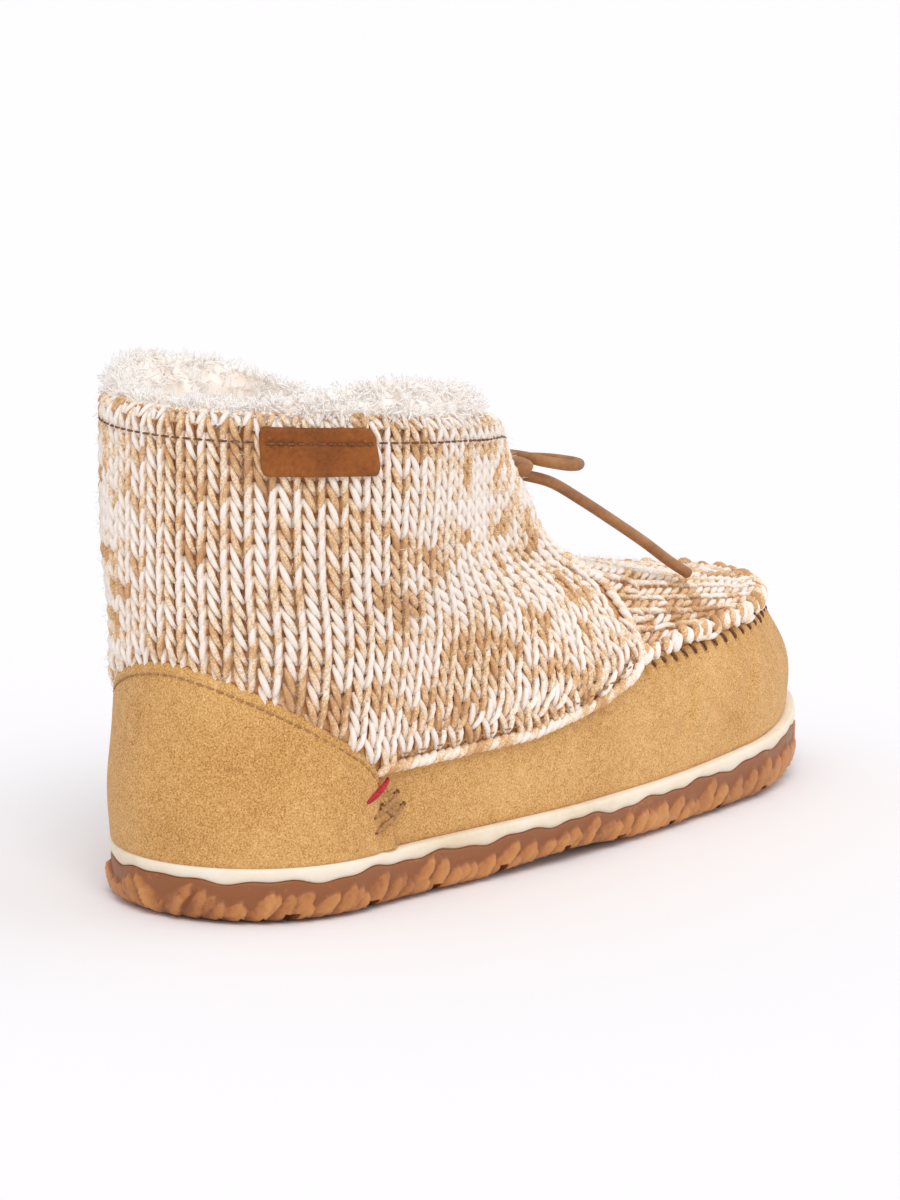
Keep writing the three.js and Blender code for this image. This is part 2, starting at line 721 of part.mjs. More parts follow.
piece("lace_knot", knotGeometry(), laceLeather).position.set(KNOT.x, KNOT.y, KNOT.z);
piece("lace_loop_lateral", tube(LOOP_ROUTE, 14), laceLeather);
piece("lace_loop_medial", tube(mirrored(LOOP_ROUTE), 14), laceLeather);
piece("lace_end_lateral", tube(LATERAL_END_ROUTE, 14), laceLeather);
piece("lace_end_medial", tube(MEDIAL_END_ROUTE, 12), laceLeather);

export default boot;
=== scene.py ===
# %% [markdown]
# # A mukluk boot for the right foot
# The measured model gives the sizes of every piece. This notebook gives them their looks:
# thick marled knit, brushed suede, deep fleece, a gum sole and a waxed leather lace.
# All the upper pieces were cut over one last, so the last's surface is written down first,
# and each piece is then a strip of it, moved out or in by its thickness.

import math

import bpy
import numpy as np
from mathutils import Matrix, Vector, noise
from mathutils.bvhtree import BVHTree


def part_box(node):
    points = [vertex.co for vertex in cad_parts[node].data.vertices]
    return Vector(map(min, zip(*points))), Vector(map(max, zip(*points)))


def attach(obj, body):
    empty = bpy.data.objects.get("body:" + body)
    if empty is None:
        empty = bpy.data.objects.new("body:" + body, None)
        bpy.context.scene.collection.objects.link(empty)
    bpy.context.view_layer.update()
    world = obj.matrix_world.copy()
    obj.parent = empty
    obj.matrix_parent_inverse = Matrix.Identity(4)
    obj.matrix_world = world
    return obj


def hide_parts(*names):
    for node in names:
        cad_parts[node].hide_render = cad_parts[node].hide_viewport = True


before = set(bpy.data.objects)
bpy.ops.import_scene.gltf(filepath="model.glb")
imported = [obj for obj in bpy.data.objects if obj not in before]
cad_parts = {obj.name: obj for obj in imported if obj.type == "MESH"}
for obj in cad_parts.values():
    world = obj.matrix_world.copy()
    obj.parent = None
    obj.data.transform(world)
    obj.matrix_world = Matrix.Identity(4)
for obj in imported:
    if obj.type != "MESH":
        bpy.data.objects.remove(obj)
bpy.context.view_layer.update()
MM = 0.001
KNOT = np.array([130.1, 0.8, 97.6])
knot_low, knot_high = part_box("lace_knot")
SHIFT = (np.array(knot_low) + np.array(knot_high)) / 2 / MM - KNOT


def place(points):
    """From the drawing's millimetres, x from the heel's back, to the frame's metres."""
    return (np.asarray(points, float) + SHIFT) * MM


print("nodes", len(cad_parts), "shift of the drawing, mm", SHIFT.round(2))

# %% [markdown]
# ## Camera
# The photograph was taken with a long lens from about 1.1 m, low and from behind the outer
# side. The camera stands at the same spot with the same lens, and is turned a little so
# that the whole toe comes into the frame.

# %% Camera
SENSOR, FRAME_HEIGHT, FOCAL_PIXELS = 36, 1200, 4479.5
FRAME_MIDDLE, LENS_AXIS = np.array([635, 600]), np.array([436.3, 891.0])
TARGET, DISTANCE = np.array([35.0, 0.0, 0.0]), 1107.8
turned, tilted, rolled = np.radians([50.898, 14.020, 0.343])
ahead = np.array([math.sin(turned), math.cos(turned), 0]) * math.cos(tilted)
ahead[2] = -math.sin(tilted)
level_right = np.array([math.cos(turned), -math.sin(turned), 0])
level_up = np.cross(level_right, ahead)
right = level_right * math.cos(rolled) + level_up * math.sin(rolled)
up = level_up * math.cos(rolled) - level_right * math.sin(rolled)
eye = TARGET - ahead * DISTANCE
shift_right, shift_down = (FRAME_MIDDLE - LENS_AXIS) / FOCAL_PIXELS
aim = ahead + right * shift_right - up * shift_down
aim = aim / np.linalg.norm(aim)
right = right - aim * (right @ aim)
right = right / np.linalg.norm(right)
up = np.cross(right, aim)

camera = bpy.data.objects.new("camera", bpy.data.cameras.new("camera"))
camera.data.sensor_width = SENSOR
camera.data.lens = SENSOR * FOCAL_PIXELS / FRAME_HEIGHT
camera.data.clip_start = 0.05
bpy.context.scene.collection.objects.link(camera)
columns = np.stack([right, up, -aim], 1)
rows = [[*columns[row], place(eye)[row]] for row in range(3)]
camera.matrix_world = Matrix([*rows, [0, 0, 0, 1]])
bpy.context.scene.camera = camera
print("camera at, m", place(eye).round(3), "lens, mm", round(camera.data.lens, 1))

# %% [markdown]
# ## Shader arithmetic
# A material is easier to read as a formula. A wire is one socket of a node tree, and its
# plus, minus and times add the Math nodes. Every other node comes from one method.


# %% Finish and wire
class Wire:
    """One socket of a finish, with arithmetic."""

    def __init__(self, finish, node, socket):
        self.finish, self.node, self.socket = finish, node, socket

    def out(self, name):
        return Wire(self.finish, self.node, self.node.outputs[name])

    def math(self, operation, other):
        return self.finish.add("ShaderNodeMath", {"operation": operation}, {0: self, 1: other})

    def __add__(self, other):
        return self.math("ADD", other)

    def __sub__(self, other):
        return self.math("SUBTRACT", other)

    def __mul__(self, other):
        return self.math("MULTIPLY", other)

    def step(self, low, high):
        names = {"Value": self, "From Min": low, "From Max": high}
        settings = {"interpolation_type": "SMOOTHSTEP"}
        return self.finish.add("ShaderNodeMapRange", settings, names)


class Finish:
    """One material: constants go on the shader's sockets, wires go to what varies."""

    def __init__(self, name, **constants):
        self.material = bpy.data.materials.new(name)
        self.material.use_nodes = True
        self.tree = self.material.node_tree
        self.shader = self.tree.nodes["Principled BSDF"]
        for key, value in constants.items():
            title = key.replace("_", " ").title().replace("Ior", "IOR")
            self.shader.inputs[title].default_value = value

    def add(self, kind, settings, sockets):
        node = self.tree.nodes.new(kind)
        for key, value in settings.items():
            if key == "stops":
                ramp = node.color_ramp
                while len(ramp.elements) < len(value):
                    ramp.elements.new(0.5)
                for element, (at, colour) in zip(ramp.elements, value):
                    element.position = at
                    element.color = (*colour, 1)
            else:
                setattr(node, key, value)
        for key, value in sockets.items():
            if isinstance(value, Wire):
                self.tree.links.new(value.socket, node.inputs[key])
            else:
                node.inputs[key].default_value = value
        return Wire(self, node, node.outputs[0])

    def grain(self, scale, detail=3.0, rough=0.6):
        """Noise on the object's own coordinates; scale counts waves in a metre."""
        source = self.add("ShaderNodeTexCoord", {}, {}).out("Object")
        names = {"Vector": source, "Scale": scale, "Detail": detail, "Roughness": rough}
        return self.add("ShaderNodeTexNoise", {}, names)

    def ramp(self, wire, stops):
        return self.add("ShaderNodeValToRGB", {"stops": stops}, {"Fac": wire})

    def attribute(self, name):
        """A value that the mesh carries on its points."""
        return self.add("ShaderNodeAttribute", {"attribute_name": name}, {}).out("Fac")

    def bump(self, height, distance, strength):
        names = {"Height": height, "Distance": distance, "Strength": strength}
        return self.add("ShaderNodeBump", {}, names)

    def feed(self, **wires):
        for key, wire in wires.items():
            target = self.shader.inputs[key.replace("_", " ").title()]
            self.tree.links.new(wire.socket, target)
        return self.material


# %% [markdown]
# ## Making a mesh piece
# Two makers cover most of the boot. A sweep is a tube along a route, for cords and single
# stitches. A piece takes points and faces in the drawing's millimetres.


# %% Piece and sweep
def piece(name, points, faces, material, uv=None, smooth=True, local=False):
    mesh = bpy.data.meshes.new(name)
    points = np.asarray(points, float) * MM if local else place(points)
    mesh.from_pydata(points.tolist(), [], [tuple(int(k) for k in f) for f in faces])
    mesh.polygons.foreach_set("use_smooth", [smooth] * len(mesh.polygons))
    if uv is not None:
        layer = mesh.uv_layers.new(name="UVMap")
        layer.data.foreach_set("uv", np.asarray(uv, np.float32).ravel())
    if material is not None:
        mesh.materials.append(material)
    obj = bpy.data.objects.new(name, mesh)
    bpy.context.scene.collection.objects.link(obj)
    return obj


def applied(obj):
    """Turns what the object's modifiers make into its own mesh."""
    seen = obj.evaluated_get(bpy.context.evaluated_depsgraph_get())
    mesh = bpy.data.meshes.new_from_object(seen)
    obj.modifiers.clear()
    obj.data = mesh


def finished(obj, slot, *nodes):
    """Hangs the piece on the root body and hides the measured parts it stands for; the slot is not
    used.
    """
    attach(obj, "root")
    if nodes:
        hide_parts(*nodes)
    obj.data.calc_loop_triangles()
    print(obj.name, "triangles", len(obj.data.loop_triangles))


def run_along(points):
    """The distance run along the points, from the first one to each."""
    steps = np.linalg.norm(np.diff(points, axis=0), axis=1)
    return np.concatenate([[0], np.cumsum(steps)])


def even(points, count):
    run = run_along(points)
    at = np.linspace(0, run[-1], count)
    return np.stack([np.interp(at, run, points[:, axis]) for axis in range(3)], -1)


def smooth_route(points, count):
    """A smooth curve through the points, with evenly spaced stations."""
    p = np.asarray(points, float)
    p = np.vstack([2 * p[0] - p[1], p, 2 * p[-1] - p[-2]])
    s = np.linspace(0, 1, 24, endpoint=False)[:, None]
    fine = []
    for a, b, c, d in zip(p, p[1:], p[2:], p[3:]):
        curve = 2 * b + (c - a) * s + (2 * a - 5 * b + 4 * c - d) * s**2
        fine.append(0.5 * (curve + (3 * b - a - 3 * c + d) * s**3))
    return even(np.vstack([*fine, p[-2:-1]]), count)


def unit(vectors):
    return vectors / np.linalg.norm(vectors, axis=-1, keepdims=True)


def sweep(route, radii, sides, first=None):
    """Points, faces and UVs of a closed tube along a route."""
    count = len(route)
    radii = np.broadcast_to(np.asarray(radii, float), (count,))
    along = unit(np.gradient(route, axis=0))
    across = np.array(first if first is not None else [0.13, 0.2, 1.0])
    angle = np.arange(sides) / sides * 2 * math.pi
    points = []
    for k in range(count):
        across = unit(across - along[k] * (across @ along[k]))
        other = np.cross(along[k], across)
        ring = np.outer(np.cos(angle), across) + np.outer(np.sin(angle), other)
        points.append(route[k] + ring * radii[k])
    run = run_along(route)
    faces, uv = [], []
    for k in range(count - 1):
        for j in range(sides):
            n = (j + 1) % sides
            a, b = k * sides, (k + 1) * sides
            faces.append((a + j, a + n, b + n, b + j))
            u0, u1 = j / sides, (j + 1) / sides
            uv += [(u0, run[k]), (u1, run[k]), (u1, run[k + 1]), (u0, run[k + 1])]
    faces.append(tuple(range(sides))[::-1])
    faces.append(tuple((count - 1) * sides + j for j in range(sides)))
    uv += [(0.5, 0)] * sides + [(0.5, run[-1])] * sides
    return np.vstack(points), faces, np.array(uv)


def plump(s, start, power):
    """A share of the thickness that swells from both ends to the middle."""
    return np.sin(math.pi * (start + (1 - 2 * start) * s)) ** power


def ridge(distance, middle, width):
    """A smooth ridge of height 1 at the middle."""
    return np.exp(-(((distance - middle) / width) ** 2))


# %% [markdown]
# ## The last
# The last is a stack of closed rings, from the feather edge to the collar. A turn is the
# angle round the boot from the back of the heel, and a level counts the rings upwards.
# Both are the same numbers as in the measured model, so a fine mesh made here lies on it.

# %% Rings of the last
COLUMN_NAMES = (
    "back_x back_z front_x front_z lift_from heel waist ball toe arch bend back_round front_round"
).split()
RING_TABLE = [
    (2, 14.3, 259, 21.8, 0.55, 34.5, 42.5, 42.5, 39, 6, 5, 37, 62),
    (0.8, 28, 258.5, 35, 0.4, 34.7, 42, 42.5, 39.5, 5, 5, 37, 62),
    (2.5, 44, 248, 49, 0, 34.4, 40.5, 38.5, 36.5, 3, 5, 37, 60),
    (4.2, 65, 211, 59, 0, 35.4, 36.5, 26, 25, 0, 4, 38, 36),
    (3.8, 84, 149, 72.5, 0, 39, 37, 26.5, 25.5, 0, 2, 41, 36),
    (4, 103, 122, 95, 0, 41.5, 40.5, 31.5, 30, 0, 1, 44, 38),
    (4, 121, 109, 109, 0, 42.5, 43, 36.4, 34, 0, 0, 46, 42),
]
RINGS = [dict(zip(COLUMN_NAMES, row)) for row in RING_TABLE]
SOLE_ROW = (0, 0, 262, 0, 0, 36.4, 44.5, 44.5, 41, 6, 5.5, 37.6, 62)
SOLE_RING = dict(zip(COLUMN_NAMES, SOLE_ROW))
COLLAR = len(RINGS) - 1
SEAM = 2
PLUG_RISE = 20
TURN_STEP, LEVEL_STEP = 0.004, 0.02


def smooth(low, high, value):
    s = np.clip((np.asarray(value, float) - low) / (high - low), 0, 1)
    return s * s * (3 - 2 * s)


def ring_points(ring, turn):
    t = (1 - np.cos(turn)) / 2
    length = ring["front_x"] - ring["back_x"]
    side = np.where(np.sin(turn) < 0, 1.0, -1.0)
    stations = np.array([0, 0.18, 0.45, 0.74, 1])
    widths = np.array([ring[n] for n in ("heel", "heel", "waist", "ball", "toe")], float)
    before = np.maximum(np.arange(5) - 1, 0)
    after = np.minimum(np.arange(5) + 1, 4)
    slopes = (widths[after] - widths[before]) / (stations[after] - stations[before])
    k = np.clip(np.searchsorted(stations, t, side="right") - 1, 0, 3)
    span = stations[k + 1] - stations[k]
    s = (t - stations[k]) / span
    half = (
        (2 * s**3 - 3 * s**2 + 1) * widths[k]
        + (s**3 - 2 * s**2 + s) * span * slopes[k]
        + (3 * s**2 - 2 * s**3) * widths[k + 1]
        + (s**3 - s**2) * span * slopes[k + 1]
    )
    half = half - np.where(side > 0, ring["arch"] * ridge(t, 0.38, 0.16), 0)
    for share, radius in ((t, ring["back_round"]), (1 - t, ring["front_round"])):
        half = half * np.sqrt(1 - (1 - np.clip(length * share / radius, 0, 1)) ** 2)
    lift = np.clip((t - ring["lift_from"]) / (1 - ring["lift_from"]), 0, 1) ** 2
    x = ring["back_x"] + length * t
    y = side * half + ring["bend"] * t**2
    z = ring["back_z"] + (ring["front_z"] - ring["back_z"]) * lift
    return np.stack([x, y, z], -1)


# %% Surface of the last
def last_points(turn, level):
    """Points of the last's surface; turn and level are flat arrays of one length."""
    rings = np.stack([ring_points(ring, turn) for ring in RINGS])
    front = smooth(0.605, 0.72, (1 - np.cos(turn)) / 2)[:, None]
    below, above = np.empty_like(rings), np.empty_like(rings)
    for k in range(COLLAR + 1):
        a, b = max(k - 1, 0), min(k + 1, COLLAR)
        middle = (rings[b] - rings[a]) / (b - a)
        below[k] = above[k] = middle
        if k == SEAM:
            rise = rings[b] - rings[k] + np.array([0, 0, PLUG_RISE])
            above[k] = middle + (rise - middle) * front
            below[k] = middle + (rings[k] - rings[a] - middle) * front
    low = np.clip(np.floor(level).astype(int), 0, COLLAR - 1)
    own = np.arange(len(turn))
    s = (np.minimum(level, COLLAR) - low)[:, None]
    points = (
        rings[low, own] * (2 * s**3 - 3 * s**2 + 1)
        + above[low, own] * (s**3 - 2 * s**2 + s)
        + rings[low + 1, own] * (3 * s**2 - 2 * s**3)
        + below[low + 1, own] * (s**3 - s**2)
    )
    beyond = np.maximum(level - COLLAR, 0)[:, None]
    return points + above[COLLAR] * beyond


def last(turn, level, offset=0.0):
    """The last's surface, moved out along its normal by an offset."""
    turn, level, offset = np.broadcast_arrays(
        np.asarray(turn, float), np.asarray(level, float), np.asarray(offset, float)
    )
    t, v, d = turn.ravel(), level.ravel(), offset.ravel()
    points = last_points(t, v)
    if np.any(d != 0):
        points = points + last_normal(t, v) * d[:, None]
    return points.reshape(*turn.shape, 3)


def last_normal(turn, level):
    """The way out of the last; turn and level are flat arrays of one length."""
    a, b = TURN_STEP, LEVEL_STEP
    along = last_points(turn + a, level) - last_points(turn - a, level)
    upwards = last_points(turn, level + b) - last_points(turn, np.maximum(level - b, 0))
    return unit(np.cross(along, upwards))


def side_of(turn):
    return np.abs((np.asarray(turn, float) + math.pi) % (2 * math.pi) - math.pi)


def flat(value):
    """The same value at every turn and level."""
    return lambda turn, level=None: 0 * turn + value


def line(table):
    """A cut line as a function of the turn, the same to both sides."""
    turns, levels = np.array(table).T
    return lambda turn: np.interp(side_of(turn), turns, levels)


def eased(table):
    """The same line with its corners taken off, level across the middle of the heel."""
    turns, levels = np.array(table).T
    fine = np.linspace(0, turns[-1], 160)
    reach = np.linspace(-0.1, 0.1, 21)[:, None]
    moved = np.clip(fine + reach, -1, turns[-1])
    share = smooth(0.76, 0.6, fine)
    mean = np.interp(np.abs(moved), turns, levels).mean(0)
    return list(zip(fine, mean * share + np.interp(fine, turns, levels) * (1 - share)))


LEVEL_MM, TURN_MM = 20, 40
COUNTER_CORNER, COUNTER_END, QUARTER_END = 0.785, 0.862, 2.74
COUNTER = [
    (0, 2.87), (0.22, 2.75), (0.45, 2.45), (0.62, 2.1), (0.72, 1.78), (COUNTER_CORNER, 1.44),
    (0.825, 0.95), (COUNTER_END, 0.08),
]
HEM = [
    (COUNTER_CORNER, 1.42), (1.06, 1.42), (1.31, 1.44), (1.54, 1.64), (1.68, 1.84),
    (1.75, 2.04), (1.8, 2.36), (1.92, 2.8), (2.12, 3.35), (2.36, 3.95), (2.56, 4.5), (2.68, 5),
    (QUARTER_END, 5.25),
]
counter_top, hem = line(eased(COUNTER)), line(HEM)
shaft_top = line([(0, 6), (2.2, 6), (2.4, 5.92), (2.58, 5.75), (QUARTER_END, 5.45)])
upper_top = line([(0, 3.15), (0.45, 2.85), (0.8, 2.2), (1.1, 1.985), (math.pi, 1.985)])
tongue_top = line(
    [(1.62, 2.35), (1.8, 2.9), (1.95, 3.5), (2.12, 4.1), (2.3, 4.8), (2.42, 5.5), (2.5, 6),
     (2.62, 6.18), (math.pi, 6.25)]
)
check = place(last(np.linspace(0, 6.28, 400), 0.0))
print("feather ring spans, mm", ((check.max(0) - check.min(0)) / MM).round(1))


# %% [markdown]
# ## A band of the last
# Suede, lining and label are all bands: a strip between two cut lines, with a wall and
# rounded rims. Its section runs up outside, over the rim, down inside and back under.


# %% Band
RIM_ROUND = 0.35


def band(name, turns, low, high, rows, outside, inside, material, closed=True):
    """A wall from the low to the high line; outside and inside give its two offsets."""
    shares = np.linspace(0, 1, rows + 1)
    T, S = np.meshgrid(turns, shares, indexing="ij")
    L = low(T) + (high(T) - low(T)) * S
    out = last(T, L, outside(T, L))
    inn = last(T, L, inside(T, L))
    wall = np.linalg.norm(out - inn, axis=-1, keepdims=True)
    rims = []
    for end, next_row in ((rows, rows - 1), (0, 1)):
        away = unit(out[:, end] - out[:, next_row])
        rims.append((out[:, end] + inn[:, end]) / 2 + away * wall[:, end] * RIM_ROUND)
        out[:, end] = out[:, end] * 0.85 + inn[:, end] * 0.15
        inn[:, end] = inn[:, end] * 0.85 + out[:, end] * 0.15
    section = np.concatenate([out, rims[0][:, None], inn[:, ::-1], rims[1][:, None]], 1)
    columns, n = section.shape[:2]
    steps = columns if closed else columns - 1
    i, j = np.meshgrid(np.arange(steps), np.arange(n), indexing="ij")
    i, j = i.ravel(), j.ravel()
    right_i, up_j = (i + 1) % columns, (j + 1) % n
    faces = np.stack([i * n + j, right_i * n + j, right_i * n + up_j, i * n + up_j], -1).tolist()
    if not closed:
        caps = [[k, k + 1, n - 3 - k, n - 2 - k] for k in range(rows)]
        caps += [[rows, rows + 1, rows + 2], [n - 1, 0, n - 2]]
        faces += caps
        faces += [[(columns - 1) * n + k for k in cap[::-1]] for cap in caps]
    return piece(name, section.reshape(-1, 3), faces, material)


# %% [markdown]
# ## The lace
# One waxed leather cord runs through an eyelet in each quarter and is tied in a bow over
# the tongue. Its free parts are cords: two loops and two ends, as long as in the photograph.
# Their routes are those of the measured model. The knot is two turns of the same cord.

# %% Leather of the lace
leather = Finish("waxed_leather", roughness=0.5)
fine = leather.grain(900, 4.0)
coarse = leather.grain(110, 2.0)
tan = leather.ramp(
    coarse * 0.6 + fine * 0.4,
    [(0.25, (0.17, 0.062, 0.018)), (0.5, (0.36, 0.155, 0.052)), (0.75, (0.52, 0.26, 0.10))],
)
lace_leather = leather.feed(
    base_color=tan,
    roughness=fine * 0.35 + 0.36,
    normal=leather.bump(fine, 0.00012, 0.7),
)

# %% Lace routes
LACE = 3.0
LOOP = [
    [128.5, -3.8, 98.9], [127.1, -10, 99.5], [125.4, -16.5, 99.7], [125.4, -22.6, 99.2],
    [128.2, -28, 98.5], [133.4, -27.2, 98.2], [136.4, -21, 98], [136.4, -13.5, 97.9],
    [132.3, -4.2, 97.6],
]
LATERAL_END = [
    [132.2, -2.2, 94.3], [136.2, -8.5, 93], [141.5, -13, 91], [150, -16, 86],
    [161, -18.3, 79.6], [173.5, -20.4, 72.3], [184, -21.6, 65.9], [192.5, -22.2, 61.4],
]
MEDIAL_END = [
    [132.2, 3.8, 94.3], [136, 10, 92.6], [140.5, 15.2, 89.8], [147, 20, 84.6],
    [155, 24.2, 78], [163.5, 27.6, 71], [172, 30.4, 62.8],
]
BAR_MIDDLE = [
    [119.3, -17.7, 99.4], [123.2, -9, 98.8], [124.9, 1, 98.2], [123.1, 11, 98.9],
    [119.2, 19.5, 99.5],
]
EYELET_TURN, EYELET_LEVEL = 2.5, 5.0
other_loop = [[x, 2 * KNOT[1] - y, z] for x, y, z in LOOP]


def lead(side):
    """From inside the eyelet out to the tongue."""
    return [last(side * EYELET_TURN, EYELET_LEVEL, d).tolist() for d in (-1.5, 1.4, 4, 6.2)]


def lace_piece(name, points, count):
    route = smooth_route(points, count)
    points, faces, uv = sweep(route, LACE / 2, 14)
    return piece(name, points, faces, lace_leather, uv), route


bar, _ = lace_piece("lace_through_eyelets", lead(1) + BAR_MIDDLE + lead(-1)[::-1], 60)
finished(bar, "lace_leather", "lace_bar")

# %% Knot
WRAPS, WRAPS_WIDE = 2.15, 4.4
spin = np.linspace(0, 2 * math.pi * WRAPS, 60)
wraps = [1.9 * np.cos(spin), WRAPS_WIDE * (spin / spin[-1] - 0.5), 2.3 * np.sin(spin)]
wraps = KNOT + np.stack(wraps, -1)
knot_points, knot_faces, knot_uv = sweep(wraps, LACE / 2 * 0.95, 12)
knot = piece("knot_wraps", knot_points, knot_faces, lace_leather, knot_uv)
finished(knot, "lace_leather", "lace_knot")

# %% Loops and ends
for name, node, points, count, far_end in (
    ("bow_loop_outer", "lace_loop_lateral", LOOP, 48, "object"),
    ("bow_loop_inner", "lace_loop_medial", other_loop, 48, "object"),
    ("lace_end_outer", "lace_end_lateral", LATERAL_END, 40, "bare"),
    ("lace_end_inner", "lace_end_medial", MEDIAL_END, 36, "bare"),
):
    cord, route = lace_piece(name, points, count)
    finished(cord, "lace_leather", node)
    route = place(route)

# %% [markdown]
# ## Suede
# Brushed suede has no shine of its own. Its short nap catches the light in flecks, and
# strokes of the brush leave lighter and darker clouds. Three sizes of noise give flecks,
# strokes and clouds, and the finest one also lifts the surface.

# %% Suede finish
suede = Finish(
    "brushed_suede", roughness=0.95, specular_ior_level=0.2, sheen_weight=0.12, sheen_roughness=0.6
)
flecks = suede.grain(2300, 2.0, 0.8)
strokes = suede.grain(420, 3.0, 0.6)
clouds = suede.grain(34, 2.0, 0.5)
nap = suede.ramp(
    flecks * 0.7 + strokes * 0.14 + clouds * 0.16,
    [(0.36, (0.36, 0.158, 0.036)), (0.46, (0.59, 0.305, 0.09)), (0.56, (0.74, 0.43, 0.155)),
     (0.66, (0.87, 0.59, 0.28))],
)
suede_leather = suede.feed(
    base_color=nap,
    normal=suede.bump(flecks + strokes * 0.6, 0.0002, 0.8),
)

# %% [markdown]
# ## The moccasin foot
# The foot is one soft piece of suede, gathered into the knitted plug. Each whip stitch
# pulls a short pleat into it, so the wall gets a row of dents just under the seam. A few
# shallow creases lie where the ball of the foot bends, and the heel's counter is laid over.

# %% Seam measure
SEAM_TURNS = np.linspace(0, math.pi, 1500)
USUAL_PITCH = 5.5
SEAM_RUN = run_along(last(SEAM_TURNS, SEAM))
KNOB_PITCH = SEAM_RUN[-1] / round(SEAM_RUN[-1] / USUAL_PITCH)


def seam_run(turn):
    return np.interp(side_of(turn), SEAM_TURNS, SEAM_RUN)


# %% Suede foot
SUEDE = 2.0
CREASE_WIDTH = 0.028
CREASES = [
    {"turn": 1.86, "level": 1.05, "lean": 0.10, "height": 0.5, "depth": 0.7},
    {"turn": 1.99, "level": 0.85, "lean": -0.14, "height": 0.55, "depth": 0.8},
    {"turn": 2.16, "level": 1.2, "lean": 0.16, "height": 0.4, "depth": 0.6},
]


def pleats(turn, level):
    wave = 0.5 + 0.5 * np.cos(2 * math.pi * seam_run(turn) / KNOB_PITCH)
    reach = smooth(1.62, 1.97, level) * smooth(1.62, 1.78, side_of(turn))
    return (0.35 - 1.9 * wave**5) * reach


def creases(turn, level):
    dent = np.zeros_like(turn)
    for crease in CREASES:
        lean = crease["lean"] * (level - crease["level"])
        across = (side_of(turn) - crease["turn"] - lean) / CREASE_WIDTH
        fold = ridge(across, 0, 1) - 0.5 * ridge(across, 1.7, 1)
        dent -= crease["depth"] * fold * ridge(level, crease["level"], crease["height"])
    return dent


def waves(turn, level, size, *parts):
    """Smooth noise over the last; each part is a wave's length and its share."""
    points = last(turn, level).reshape(-1, 3)
    values = [sum(k * noise.noise(Vector(p) / length) for length, k in parts) for p in points]
    return size * np.array(values).reshape(turn.shape)


def soft_waves(turn, level, size=0.35):
    return waves(turn, level, size, (26, 1))


foot = band(
    "suede_foot",
    np.linspace(0, 2 * math.pi, 840, endpoint=False),
    flat(0),
    upper_top,
    22,
    lambda T, L: pleats(T, L) + creases(T, L) + soft_waves(T, L),
    flat(-SUEDE),
    suede_leather,
)
finished(foot, "suede", "upper")

# %% Heel counter
def counter_wall(turn, level):
    """Its outer side: grooves for the topstitch and the front seam, and a folded edge."""
    below_top = (counter_top(turn) - level) * LEVEL_MM
    from_end = (COUNTER_END - side_of(turn)) * TURN_MM
    groove = 0.45 * ridge(below_top, 2.4, 0.55) + 0.5 * ridge(from_end, 2.3, 0.45)
    return 1.9 - groove + 0.4 * ridge(from_end, 1.1, 0.7) + soft_waves(turn, level, 0.15)


counter = band(
    "heel_counter_suede",
    np.linspace(-COUNTER_END, COUNTER_END, 240),
    flat(0),
    counter_top,
    44,
    counter_wall,
    flat(0.3),
    suede_leather,
    closed=False,
)
finished(counter, "suede", "heel_counter")

# %% [markdown]
# ## One tool for all that repeats
# Knit stitches, seam knobs, sewing stitches and tufts of fleece are each one small pattern,
# set down again and again. A Geometry Nodes tree does it: it takes points that carry a
# turn, a size and a tone, puts the pattern on each, and makes the result real.


